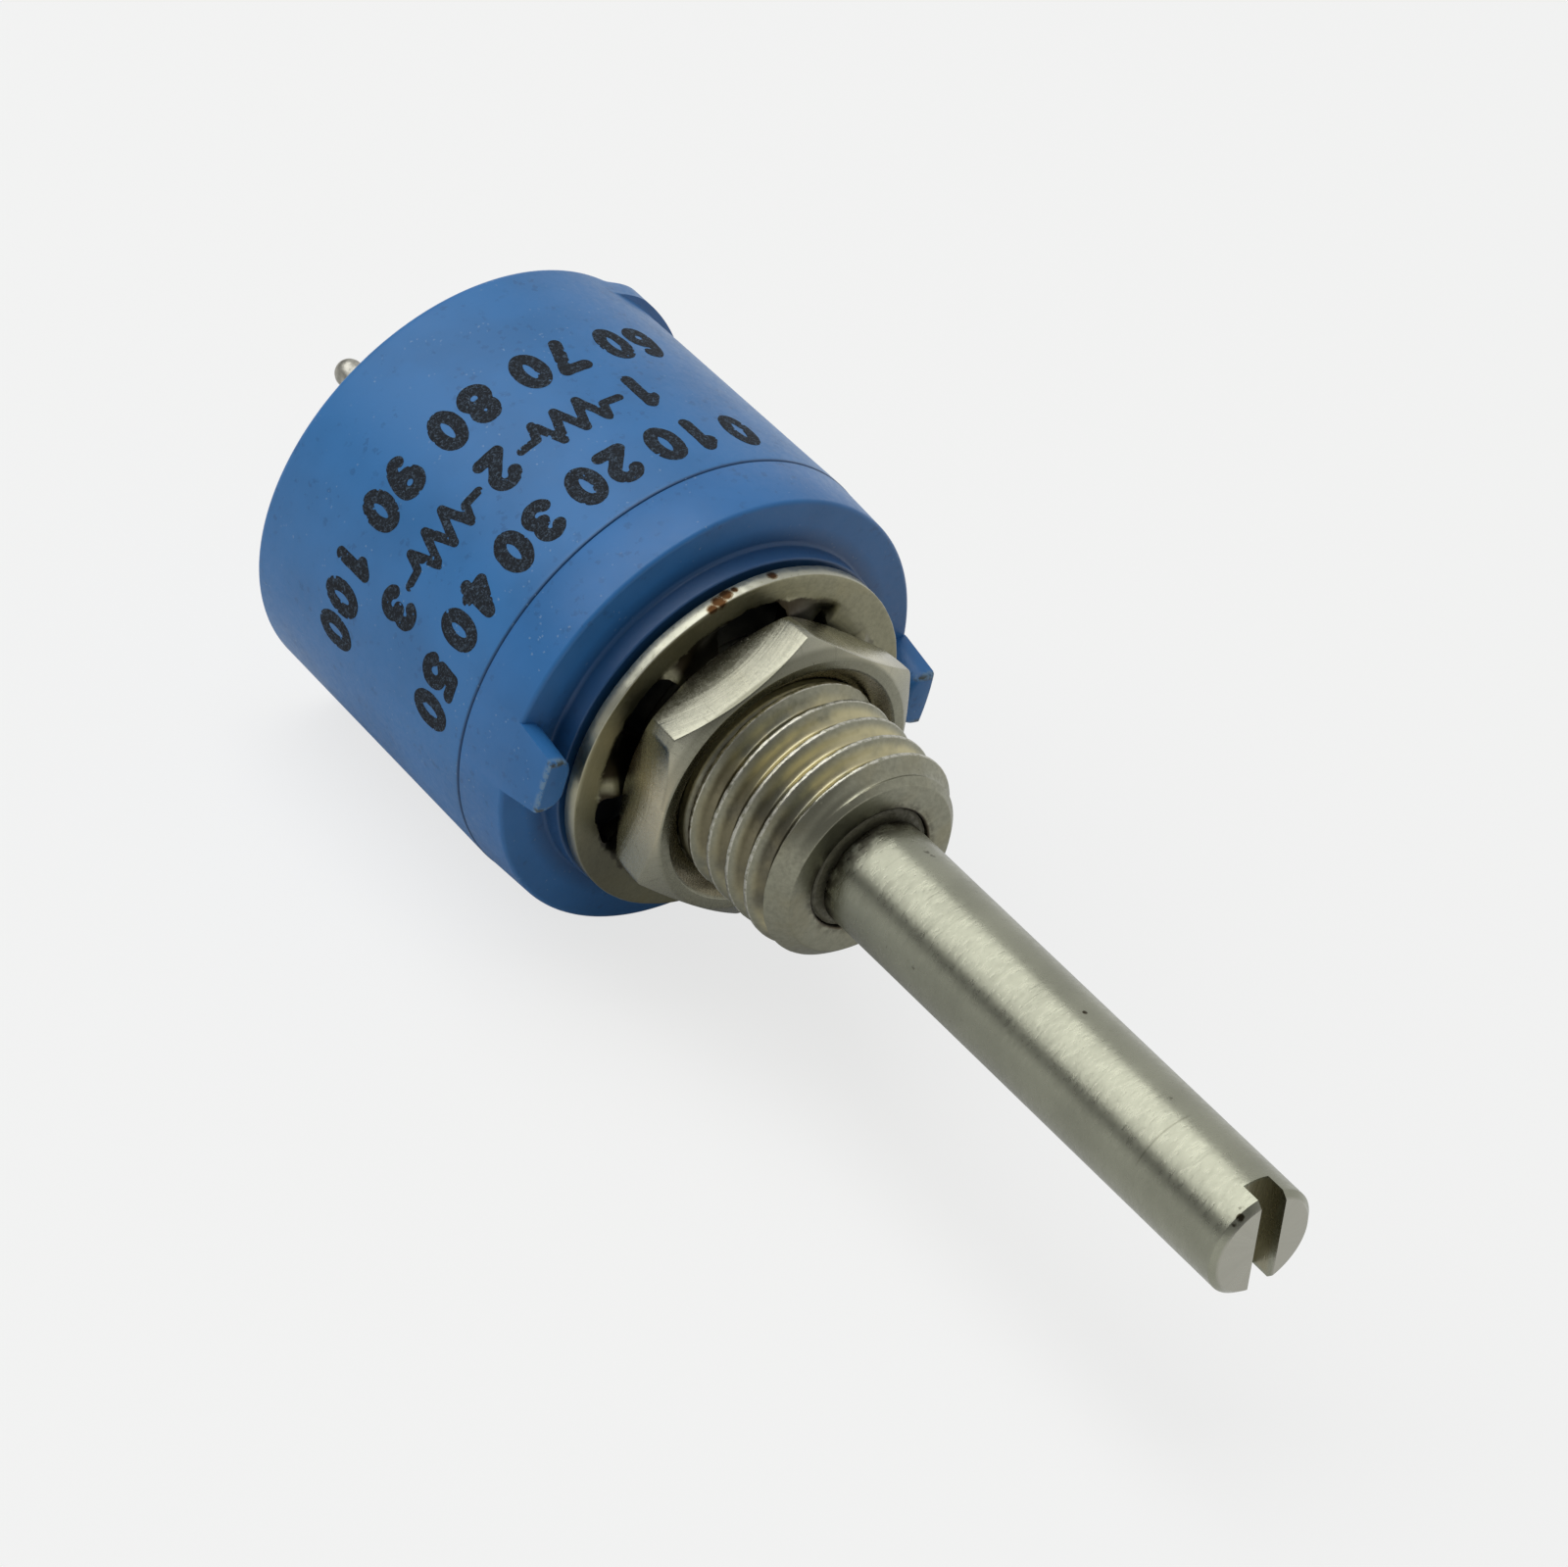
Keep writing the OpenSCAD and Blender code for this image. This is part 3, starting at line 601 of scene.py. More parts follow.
class Look:
    """One procedural material on the Principled shader, measured in millimetres on the object.
    A mask is a node's output from 0 to 1; tint is the base colour so far."""

    def __init__(self, name, colour, roughness=0.5, metallic=0.0):
        self.material = bpy.data.materials.new(name)
        self.material.use_nodes = True
        self.tree = self.material.node_tree
        self.shader = self.tree.nodes["Principled BSDF"]
        self.shader.inputs["Metallic"].default_value = metallic
        self.put("Roughness", roughness)
        self.put("Base Color", (*colour, 1))
        self.tint = colour
        place = self.tree.nodes.new("ShaderNodeTexCoord").outputs["Object"]
        self.place = self.vector("SCALE", place, scale=1000)
        split = self.tree.nodes.new("ShaderNodeSeparateXYZ")
        self.tree.links.new(self.place, split.inputs[0])
        self.x, back, self.y = split.outputs
        self.z = self.math("MULTIPLY", back, -1)
        self.r = self.math("SQRT", self.math("ADD", self.both(self.x, self.x), self.both(self.y, self.y)))
        self.turn = self.math("ARCTAN2", self.y, self.x)

    def put(self, name, value):
        self.feed(self.shader.inputs[name], value)

    def feed(self, socket, value):
        feed(self.tree, socket, value)

    def math(self, operation, a, b=0.0):
        return add_math(self.tree, operation, a, b)

    def both(self, a, b):
        """Product of two masks or numbers."""
        return self.math("MULTIPLY", a, b)

    def vector(self, operation, a, b=(0, 0, 0), scale=1.0):
        node = self.tree.nodes.new("ShaderNodeVectorMath")
        node.operation = operation
        self.feed(node.inputs[0], a)
        if operation == "SCALE":
            self.feed(node.inputs["Scale"], scale)
        else:
            self.feed(node.inputs[1], b)
        return node.outputs[0]

    def join(self, x, y, z):
        node = self.tree.nodes.new("ShaderNodeCombineXYZ")
        for socket, value in zip(node.inputs, (x, y, z)):
            self.feed(socket, value)
        return node.outputs[0]

    def round_place(self, around, out, along):
        """Coordinates round the shaft's axis, without a seam: around, radius and along the shaft."""
        nx = self.math("DIVIDE", self.x, self.r)
        ny = self.math("DIVIDE", self.y, self.r)
        level = self.math("ADD", self.both(self.r, out), self.both(self.z, along))
        return self.join(self.both(nx, around), self.both(ny, around), level)

    def noise(self, scale, detail=3.0, roughness=0.55, where=None, distortion=0.0):
        node = self.tree.nodes.new("ShaderNodeTexNoise")
        self.feed(node.inputs["Vector"], self.place if where is None else where)
        node.inputs["Scale"].default_value = scale
        node.inputs["Detail"].default_value = detail
        node.inputs["Roughness"].default_value = roughness
        node.inputs["Distortion"].default_value = distortion
        return node.outputs["Fac"]

    def distance(self, point):
        node = self.tree.nodes.new("ShaderNodeVectorMath")
        node.operation = "DISTANCE"
        self.feed(node.inputs[0], self.place)
        node.inputs[1].default_value = point
        return node.outputs["Value"]

    def ramp(self, value, low, high, start=0.0, end=1.0, smooth_step=True):
        node = self.tree.nodes.new("ShaderNodeMapRange")
        node.interpolation_type = "SMOOTHSTEP" if smooth_step else "LINEAR"
        names = ("Value", "From Min", "From Max", "To Min", "To Max")
        for name, item in zip(names, (value, low, high, start, end)):
            self.feed(node.inputs[name], item)
        return node.outputs["Result"]

    def blend(self, mask, a, b):
        node = self.tree.nodes.new("ShaderNodeMix")
        node.data_type = "RGBA"
        self.feed(node.inputs[0], mask)
        for socket, value in ((node.inputs[6], a), (node.inputs[7], b)):
            self.feed(socket, (*value, 1) if isinstance(value, tuple) else value)
        return node.outputs[2]

    def stain(self, mask, share, colour):
        """Lays a colour over the tint, as strong as the mask times the share."""
        self.tint = self.blend(self.both(mask, share), self.tint, colour)
        self.put("Base Color", self.tint)

    def bump(self, height, distance, strength=1.0, under=None):
        node = self.tree.nodes.new("ShaderNodeBump")
        node.inputs["Distance"].default_value = distance * MM
        node.inputs["Strength"].default_value = strength
        self.feed(node.inputs["Height"], height)
        if under is not None:
            self.feed(node.inputs["Normal"], under)
        return node.outputs["Normal"]

    def shift(self, step):
        """The place moved along, so that two noises of one scale differ."""
        return self.vector("ADD", self.place, (step, 1.7 * step, -step))

    def spots(self, scale, size, wander):
        """Small ragged marks, one in most cells of the given scale."""
        bent = self.tree.nodes.new("ShaderNodeTexNoise")
        self.feed(bent.inputs["Vector"], self.place)
        bent.inputs["Scale"].default_value = scale * 3
        push = self.vector("SUBTRACT", bent.outputs["Color"], (0.5, 0.5, 0.5))
        push = self.vector("SCALE", push, scale=wander / scale)
        cells = self.tree.nodes.new("ShaderNodeTexVoronoi")
        self.feed(cells.inputs["Vector"], self.vector("ADD", self.place, push))
        cells.inputs["Scale"].default_value = scale
        return self.ramp(cells.outputs["Distance"], size, size * 0.5)

    def near(self, value, middle, width):
        """1 at middle, falling to 0 at width on both sides."""
        return self.ramp(self.math("ABSOLUTE", self.math("SUBTRACT", value, middle)), width, 0.0)

    def facing(self, angle, half, value=None):
        """1 at an angle round the shaft, falling to 0 at half its width on both sides."""
        return self.near(self.turn if value is None else value, math.radians(angle), math.radians(half))

    def around(self, r, angle, z, outer, inner):
        """1 within the inner distance of a point on the part, 0 past the outer one."""
        return self.ramp(self.distance(polar(r, angle, z) / MM), outer, inner)


def blue_plastic(name, colour):
    """Moulded blue plastic with faint clouds, fine grain, dark specks and pale nicks."""
    look = Look(name, colour, 0.5)
    look.shader.inputs["Specular IOR Level"].default_value = 0.4
    look.stain(look.ramp(look.noise(0.35), 0.35, 0.7), 1.0, scaled(colour, 0.86))
    specks = look.both(look.spots(3.2, 0.34, 0.8), look.ramp(look.noise(0.7), 0.47, 0.6))
    look.stain(specks, 0.38, (0.02, 0.09, 0.24))
    look.stain(look.near(look.z, SEAM_Z - 0.02, 0.08), 0.75, (0.012, 0.035, 0.09))
    rare = look.ramp(look.noise(1.1, where=look.shift(7)), 0.53, 0.62)
    look.stain(look.both(look.spots(5.3, 0.2, 0.6), rare), 0.55, (0.22, 0.36, 0.52))
    look.put("Roughness", look.ramp(look.noise(5, 5, 0.7, distortion=1.0), 0.3, 0.7, 0.34, 0.46))
    normal = look.bump(look.noise(2.2), 0.01, 0.5)
    look.put("Normal", look.bump(look.noise(14), 0.0035, 0.5, normal))
    return look


def cover_blue_look():
    """The cover: pale scuffed lug edges, painted shade on the front face towards the boss, and near-black
    painted shade on the boss face under the washer.
    """
    look = blue_plastic("cover_plastic", COVER_BLUE)
    lug_end = look.both(look.ramp(look.z, 0.52, 0.7), look.ramp(look.math("ABSOLUTE", look.x), 5.2, 5.6))
    across = look.math("ABSOLUTE", look.y)
    edge = look.math("MAXIMUM", look.ramp(look.r, 6.44, 6.52), look.ramp(across, 0.6, 0.72))
    scuff = look.both(look.both(lug_end, edge), look.ramp(look.noise(6, 4, 0.7), 0.36, 0.54))
    look.stain(scuff, 0.55, (0.26, 0.38, 0.44))
    corner = look.both(lug_end, look.near(across, 0.72, 0.12))
    dirt = look.ramp(look.noise(5, where=look.shift(3)), 0.4, 0.52)
    look.stain(look.both(corner, dirt), 0.85, (0.06, 0.06, 0.025))
    # Painted shade: the front face darkens towards the boss, next to the washer.
    boss_foot_shade = look.ramp(look.r, 5.85, 5.2, smooth_step=False)
    look.stain(look.both(look.ramp(look.z, -0.74, -0.66), boss_foot_shade), 0.8, (0.012, 0.045, 0.12))
    # Painted shade: the boss face under the washer near black, so the gaps between the teeth look dark.
    boss = look.both(look.ramp(look.z, -0.06, 0.0), look.ramp(look.r, 4.9, 4.6))
    look.stain(boss, 0.95, (0.008, 0.006, 0.004))
    return look


def plated_metal(name, colour, roughness):
    """Dull plating: mottled tone, turning marks round the axis, stains and a few small pits."""
    look = Look(name, colour, roughness, 1.0)
    marks = look.noise(1.0, 4, 0.6, look.round_place(1.2, 9, 9))
    grain = look.noise(7, 5, 0.7)
    rare = look.ramp(look.noise(1.3, 2, where=look.shift(11)), 0.55, 0.66)
    pits = look.both(look.spots(4.6, 0.13, 0.9), rare)
    look.stain(look.ramp(grain, 0.3, 0.72), 1.0, scaled(colour, 0.82))
    warm = tuple(c * share for c, share in zip(colour, (1, 0.9, 0.7)))
    look.stain(look.ramp(look.noise(0.8, where=look.shift(5)), 0.45, 0.75), 0.35, warm)
    look.stain(pits, 0.75, scaled(colour, 0.25))
    look.put("Roughness", look.ramp(grain, 0.3, 0.75, roughness * 0.85, roughness * 1.25))
    normal = look.bump(marks, 0.008, 0.5)
    normal = look.bump(grain, 0.006, 0.4, normal)
    look.normal = look.bump(pits, -0.012, 0.6, normal)
    look.put("Normal", look.normal)
    return look


def bushing_look():
    """Worn crests, brown stain in the valleys with painted shade on their left side, dark lip round the
    seal, and painted shade on the inner lip and in the bore.
    """
    look = plated_metal("bushing_plate", METAL, 0.36)
    valley = look.both(look.ramp(look.r, 3.08, 2.86), look.ramp(look.z, 5.7, 5.5))
    patches = look.ramp(look.noise(0.75, where=look.shift(2)), 0.36, 0.6)
    brown = look.both(look.both(valley, look.ramp(look.z, 2.6, 3.0)), patches)
    look.stain(brown, 0.85, (0.52, 0.47, 0.28))
    # Painted shade: the thread's valleys darker on the left side.
    side = look.ramp(look.math("ABSOLUTE", look.turn), math.radians(136), math.radians(162))
    look.stain(look.both(valley, side), 0.75, (0.09, 0.08, 0.055))
    low = look.both(look.ramp(look.r, 2.84, 2.76), look.ramp(look.z, 5.75, 5.6))
    look.stain(low, 0.15, (0.1, 0.09, 0.06))
    chips = look.ramp(look.noise(7, 4, 0.75), 0.38, 0.56)
    look.stain(look.both(look.ramp(look.r, 3.085, 3.115), chips), 0.8, (0.55, 0.54, 0.47))
    lip = look.both(look.ramp(look.r, 2.12, 1.95), look.ramp(look.z, 6.2, 6.3))
    look.stain(look.both(lip, look.ramp(look.noise(3.5), 0.35, 0.55)), 0.45, (0.05, 0.042, 0.026))
    # Painted shade: the inner lip and the bore darkened to look like a hole.
    look.stain(look.ramp(look.r, 1.93, 1.87), 0.9, (0.07, 0.055, 0.035))
    return look


def washer_look():
    """Stained sheet with a bright worn outer edge, a few rust spots, painted shade with brown dirt on the
    teeth near the nut, painted light on the left of the rim and painted shade at the lower left.
    """
    look = plated_metal("washer_plate", WASHER_METAL, 0.36)
    worn = look.both(look.ramp(look.r, 5.165, 5.2), look.ramp(look.noise(8, 4, 0.7), 0.25, 0.45))
    look.stain(worn, 0.85, (0.4, 0.4, 0.33))
    # Painted shade with dirt: the inner rim and teeth near black where the nut shades them, except on the
    # unshaded teeth.
    unshaded = 0.0
    for angle, half in UNSHADED_TEETH:
        unshaded = look.math("MAXIMUM", unshaded, look.facing(angle, half))
    ragged_r = look.math("ADD", look.r, look.both(look.noise(2.6, 4, 0.6), 0.5))
    shade_and_grime = look.both(look.ramp(ragged_r, 4.76, 4.66), look.math("SUBTRACT", 1.0, unshaded))
    look.stain(shade_and_grime, 0.93, (0.022, 0.015, 0.008))
    # Painted light: the rim lighter round the left side.
    left = look.facing(182, 34, look.math("ABSOLUTE", look.turn))
    look.stain(look.both(left, look.ramp(look.r, 4.45, 4.6)), 0.75, (0.4, 0.375, 0.25))
    # Painted shade: the washer darker at the lower left.
    look.stain(look.facing(-138, 34), 0.6, (0.09, 0.088, 0.065))
    spots = 0.0
    for angle, z, size in RUST_SPOTS:
        spots = look.math("MAXIMUM", spots, look.around(WASHER_R, angle, z, size, size * 0.15))
    ragged = look.both(spots, look.noise(6, 5, 0.75, distortion=1.5))
    look.stain(look.ramp(ragged, 0.12, 0.24), 0.75, (0.13, 0.085, 0.035))
    look.stain(look.ramp(ragged, 0.27, 0.37), 1.0, (0.055, 0.026, 0.010))
    return look


def nut_look():
    """Turned faces, fine marks along the flats, painted highlights on the left and right flats, painted
    shade on the upper side of the front face, and a brown countersink with painted light round its top.
    """
    look = plated_metal("nut_plate", METAL, 0.26)
    flats = look.ramp(look.r, 3.9, 4.0)
    look.stain(flats, 0.85, (0.29, 0.287, 0.228))
    # Painted highlights: the left and the right flats lighter.
    left = look.facing(184, 33, look.math("ABSOLUTE", look.turn))
    look.stain(look.both(left, flats), 0.85, (0.6, 0.53, 0.37))
    look.stain(look.both(look.facing(64, 33), flats), 0.85, (0.55, 0.52, 0.38))
    # Painted shade: the front face darker round its upper side.
    ring = look.both(look.ramp(look.z, 2.4, 2.5), look.facing(115, 100))
    look.stain(ring, 0.9, (0.14, 0.138, 0.102))
    sink = look.both(look.ramp(look.r, 3.6, 3.52), look.ramp(look.z, 1.95, 2.05))
    look.stain(sink, 0.75, (0.34, 0.3, 0.2))
    # Painted light: the countersink lighter round its top.
    look.stain(look.both(sink, look.facing(125, 85)), 0.9, (0.85, 0.77, 0.54))
    under = look.both(look.ramp(look.z, 1.35, 0.95), look.ramp(look.noise(2.5), 0.3, 0.6))
    look.stain(under, 0.4, (0.1, 0.085, 0.05))
    lines = look.noise(1.0, 3, 0.65, look.round_place(42, 0, 1.3))
    look.stain(look.ramp(lines, 0.6, 0.7), 0.35, scaled(METAL, 0.55))
    look.put("Normal", look.bump(lines, 0.004, 0.5, look.normal))
    return look


def shaft_look():
    """Ground bar: ragged grain round it, faint scratches, dirt at the bushing, darker walls in the slot, and
    a painted reflection on the tip's face.
    """
    look = Look("shaft_steel", SHAFT_METAL, 0.3, 1.0)
    coarse = look.noise(1.0, 4, 0.65, look.round_place(5, 0, 7))
    fine = look.noise(1.0, 3, 0.6, look.round_place(9, 0, 24))
    scratch = look.ramp(look.noise(1.0, 2, 0.5, look.round_place(0.7, 0, 16)), 0.64, 0.74)
    look.stain(look.ramp(look.noise(0.5), 0.35, 0.7), 1.0, scaled(SHAFT_METAL, 0.86))
    look.stain(look.ramp(fine, 0.55, 0.75), 0.3, scaled(SHAFT_METAL, 0.55))
    seat = look.both(look.ramp(look.z, 7.3, 6.5), look.ramp(look.noise(3, 4), 0.36, 0.6))
    look.stain(seat, 0.8, (0.035, 0.028, 0.018))
    slot = look.both(look.ramp(look.z, 22.1, 21.9), look.ramp(look.z, 21.3, 21.44))
    look.stain(look.both(slot, look.ramp(look.r, 1.55, 1.45)), 0.8, (0.27, 0.25, 0.17))
    # Painted reflection: the tip's face lighter.
    tip = look.both(look.ramp(look.z, 22.15, 22.2), look.ramp(look.r, 1.5, 1.4))
    look.stain(tip, 1.0, (0.34, 0.335, 0.285))
    rare = look.ramp(look.noise(0.6, 2, where=look.shift(9)), 0.6, 0.68)
    look.stain(look.both(look.spots(2.3, 0.16, 0.7), rare), 0.7, (0.05, 0.045, 0.03))
    ragged = look.noise(5, 3, 0.7)
    for angle, z, size in SHAFT_MARKS:
        mark = look.both(look.around(SHAFT_R, angle, z, size, size * 0.3), ragged)
        look.stain(look.ramp(mark, 0.2, 0.45), 1.0, (0.04, 0.034, 0.02))
    angle, z = SHAFT_SCRATCH
    line = look.both(look.near(look.z, z, 0.05), look.around(SHAFT_R, angle, z, 1.1, 0.7))
    look.stain(line, 0.4, (0.08, 0.075, 0.05))
    look.put("Roughness", look.ramp(coarse, 0.3, 0.7, 0.25, 0.36))
    normal = look.bump(coarse, 0.012, 0.6)
    normal = look.bump(fine, 0.0045, 0.6, normal)
    look.put("Normal", look.bump(scratch, -0.003, 0.5, normal))
    return look


def plain_look(name, colour, roughness, metallic=0.0, scale=6.0):
    """One even colour with a fine mottle in tone, roughness and height."""
    look = Look(name, colour, roughness, metallic)
    grain = look.noise(scale, 4)
    look.stain(look.ramp(grain, 0.3, 0.7), 1.0, scaled(colour, 0.7))
    look.put("Roughness", look.ramp(grain, 0.3, 0.7, roughness * 0.85, min(1.0, roughness * 1.2)))
    look.put("Normal", look.bump(grain, 0.01, 0.5))
    return look


def ink_look():
    """Dry black ink, broken up by fine pale specks of the plastic below."""
    look = Look("print_ink", (0.018, 0.022, 0.027), 0.75)
    look.shader.inputs["Specular IOR Level"].default_value = 0.2
    look.tint = (0.012, 0.015, 0.02)
    specks = look.ramp(look.noise(13, 4, 0.75, distortion=1.0), 0.5, 0.63)
    look.stain(specks, 0.8, (0.08, 0.12, 0.17))
    look.put("Normal", look.bump(look.noise(14), 0.005, 0.5))
    return look


# Studio
FLOOR_Y = -6.72
FLOOR_GREY = (0.82, 0.826, 0.82)
PAPER = (0.998, 1.0, 0.996)
PAPER_SHARE = 0.745
FILL_LEVEL = 0.2
ROOM_LEVEL = 0.88
# Parts of the room that reflections see dimmer: direction, cosines of its start and end, level
DIM_PARTS = (((-0.83, 0.55, 0.0), 0.6, 0.94, 0.3), ((-0.62, -0.56, 0.55), 0.35, 0.9, 0.3),
             ((-0.15, 0.9, 0.4), 0.72, 0.93, 0.32))
KEY_PLACE = (-0.671, 0.444, 0.7)
KEY_TURN = -19.2
KEY_SIZE = (1.7, 0.7)
KEY_POWER = 8.1
# Camera: the way it looks, its upright, its place in millimetres and its lens
CAMERA_FORWARD = (0.62383, 0.55896, -0.54627)
CAMERA_UP = (0.18418, 0.57411, 0.79779)
CAMERA_PLACE = (-133.65, -122.40, 117.09)
CAMERA_LENS = 191.26
CAMERA_SENSOR = 36

# Print
INK_T = 0.005
INK_SINK = 0.02
INK_STEP = 0.038
INK_RAGGED = 0.01
INK_HOLES = 0.4
STROKE_W = 0.38
LINE_W = 0.26
DIGIT_H = 1.44
DIGIT_W = 0.98
DIGIT_GAP = 0.1
# Rows of scale numbers: name, numbers, first and last angle, height of the base line
SCALE_ROWS = (("print_scale_low", ("0", "10", "20", "30", "40", "50"), 73.5, 190.3, -4.55),
              ("print_scale_high", ("60", "70", "80", "90", "100"), 72.5, 194.5, -8.82))
# Row of terminal numbers and resistor signs: middle angle, arc, base line, and places as shares of the arc
SIGN_AT, SIGN_ARC, SIGN_Z = 132, 87, -6.72
MARK_PLACES = (-0.455, 0, 0.455)
LINE_PLACES = ((-0.385, -0.075), (0.075, 0.385))


def arc_path(x, y, wide, high, start, end, steps=14):
    """Points along part of an ellipse, from one angle to another."""
    turns = [unit(mix(start, end, k / steps)) for k in range(steps + 1)]
    return [(x + wide * c, y + high * s) for c, s in turns]


def digit_strokes(digit):
    """Centre lines of one bold figure in a box from (0, 0) to (1, 1)."""
    ring = arc_path(0.5, 0.27, 0.5, 0.27, 0, 360, 20)
    six = [arc_path(0.55, 0.3, 0.55, 0.7, 70, 180), ring]
    shapes = {
        "0": [arc_path(0.5, 0.5, 0.5, 0.5, 0, 360, 24)],
        "1": [[(0.2, 0.78), (0.56, 1), (0.56, 0)]],
        "2": [arc_path(0.48, 0.72, 0.46, 0.28, 165, -25) + [(0.0, 0.0), (1, 0)]],
        "3": [arc_path(0.46, 0.74, 0.42, 0.26, 150, -85), arc_path(0.46, 0.26, 0.5, 0.26, 85, -155)],
        "4": [[(1, 0.26), (0.0, 0.26), (0.68, 1), (0.68, 0)]],
        "5": [[(0.92, 1), (0.16, 1), (0.08, 0.52)] + arc_path(0.45, 0.31, 0.5, 0.31, 125, -150)],
        "6": six,
        "7": [[(0.0, 1), (1, 1), (0.36, 0)]],
        "8": [arc_path(0.5, 0.76, 0.4, 0.24, 0, 360, 20), ring],
        "9": [[(1 - x, 1 - y) for x, y in path] for path in six],
    }
    wide, high = DIGIT_W - STROKE_W, DIGIT_H - STROKE_W
    half = STROKE_W / 2
    return [[(half + x * wide, half + y * high) for x, y in path] for path in shapes[digit]]


def word_strokes(word, middle):
    """Centre lines of a number whose middle lies at the given place in its row."""
    pitch = DIGIT_W + DIGIT_GAP
    start = middle - (len(word) * pitch - DIGIT_GAP) / 2
    return [[(start + i * pitch + x, y) for x, y in path]
            for i, digit in enumerate(word) for path in digit_strokes(digit)]


def zigzag_strokes(start, end):
    """A lead, a zigzag and a lead, the sign of a resistor."""
    lead = (end - start) * 0.16
    level = DIGIT_H / 2
    peaks = 6
    room = end - start - 2 * lead
    path = [(start, level), (start + lead, level)]
    for k in range(peaks):
        path.append((start + lead + room * (k + 0.5) / peaks, level + (0.5 if k % 2 == 0 else -0.5)))
    return [path + [(end - lead, level), (end, level)]]


def stroke_distance(x, y, strokes):
    best = 9.0
    for path in strokes:
        for (ax, ay), (bx, by) in zip(path, path[1:]):
            dx, dy = bx - ax, by - ay
            t = ((x - ax) * dx + (y - ay) * dy) / (dx * dx + dy * dy)
            t = min(1.0, max(0.0, t))
            gap = math.hypot(x - ax - t * dx, y - ay - t * dy)
            best = min(best, gap)
    return best


def ink_level(x, y, strokes, half, base_z):
    """Above 0 where there is ink; its edge is slightly ragged and it has a few small holes."""
    level = half - stroke_distance(x, y, strokes)
    if level > -2 * INK_STEP:
        level += INK_RAGGED * rough(x, y, base_z, 4.0, 2)
        level -= INK_HOLES * max(0.0, rough(x, y, base_z + 9, 6.5, 2) - 0.55)
    return level


def film_mesh(name, field, columns, rows, pair_at):
    """Closed film over the cells where the field is above 0, cut along its zero line.
    pair_at(i, j) gives the outer and the inner point at a place on the grid."""
    points, faces, known = [], [], {}

    def corner(key, i, j):
        if key not in known:
            known[key] = len(points)
            points.extend(pair_at(i, j))
        return known[key]

    for i in range(columns):
        for j in range(rows):
            cell = [(i, j), (i + 1, j), (i + 1, j + 1), (i, j + 1)]
            if all(field[at] <= 0 for at in cell):
                continue
            loop, cuts = [], []
            for at, after in zip(cell, cell[1:] + cell[:1]):
                a, b = field[at], field[after]
                if a > 0:
                    loop.append(corner(at, *at))
                if (a > 0) != (b > 0):
                    t = min(0.95, max(0.05, a / (a - b)))
                    key = tuple(sorted((at, after)))
                    loop.append(corner(key, mix(at[0], after[0], t), mix(at[1], after[1], t)))
                    cuts.append((len(loop) - 1, a > 0))
            faces.append(tuple(loop))
            faces.append(tuple(k + 1 for k in reversed(loop)))
            for place, leaving in cuts:
                if leaving:
                    after = loop[(place + 1) % len(loop)]
                    faces.append((loop[place] + 1, after + 1, after, loop[place]))
    return mesh_piece(name, points, faces)


def ink_piece(name, strokes, width, middle_angle, base_z):
    """Thin film of ink round the strokes, laid on the housing's side."""
    half = width / 2
    xs = [x for path in strokes for x, y in path]
    ys = [y for path in strokes for x, y in path]
    left, low = min(xs) - half - 2 * INK_STEP, min(ys) - half - 2 * INK_STEP
    columns = int((max(xs) + half - left) / INK_STEP) + 3
    rows = int((max(ys) + half - low) / INK_STEP) + 3
    field = {(i, j): ink_level(left + i * INK_STEP, low + j * INK_STEP, strokes, half, base_z)
             for i in range(columns + 1) for j in range(rows + 1)}
    middle_r = side_r(base_z + DIGIT_H / 2)

    def pair_at(i, j):
        z = base_z + low + j * INK_STEP
        angle = middle_angle + math.degrees((left + i * INK_STEP) / middle_r)
        return polar(side_r(z) + INK_T, angle, z), polar(side_r(z) - INK_SINK, angle, z)

    return film_mesh(name, field, columns, rows, pair_at)


def row_arc(degrees, z):
    """Length of a row of print that takes up an arc, at its figures' middle."""
    return math.radians(degrees) * side_r(z + DIGIT_H / 2)


def make_print():
    """Two rows of scale numbers and, between them, the three terminals and two resistor signs."""
    pieces = []
    for name, words, start, end, z in SCALE_ROWS:
        arc = row_arc(end - start, z)
        widths = [len(word) * (DIGIT_W + DIGIT_GAP) - DIGIT_GAP for word in words]
        space = (arc - sum(widths)) / (len(words) - 1)
        place = -arc / 2
        for index, (word, width) in enumerate(zip(words, widths)):
            strokes = word_strokes(word, place + width / 2)
            pieces.append(ink_piece("%s_%d" % (name, index), strokes, STROKE_W, (start + end) / 2, z))
            place += width + space
    arc = row_arc(SIGN_ARC, SIGN_Z)
    for number, place in enumerate(MARK_PLACES, 1):
        strokes = word_strokes(str(number), arc * place)
        pieces.append(ink_piece("print_mark_%d" % number, strokes, STROKE_W, SIGN_AT, SIGN_Z))
    for number, (start, end) in enumerate(LINE_PLACES, 1):
        strokes = zigzag_strokes(arc * start, arc * end)
        pieces.append(ink_piece("print_line_%d" % number, strokes, LINE_W, SIGN_AT, SIGN_Z))
    return pieces


def dress(piece, body, slot, look, *nodes):
    piece.data.materials.clear()
    piece.data.materials.append(look.material)
    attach(piece, body)
    if nodes:
        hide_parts(*nodes)


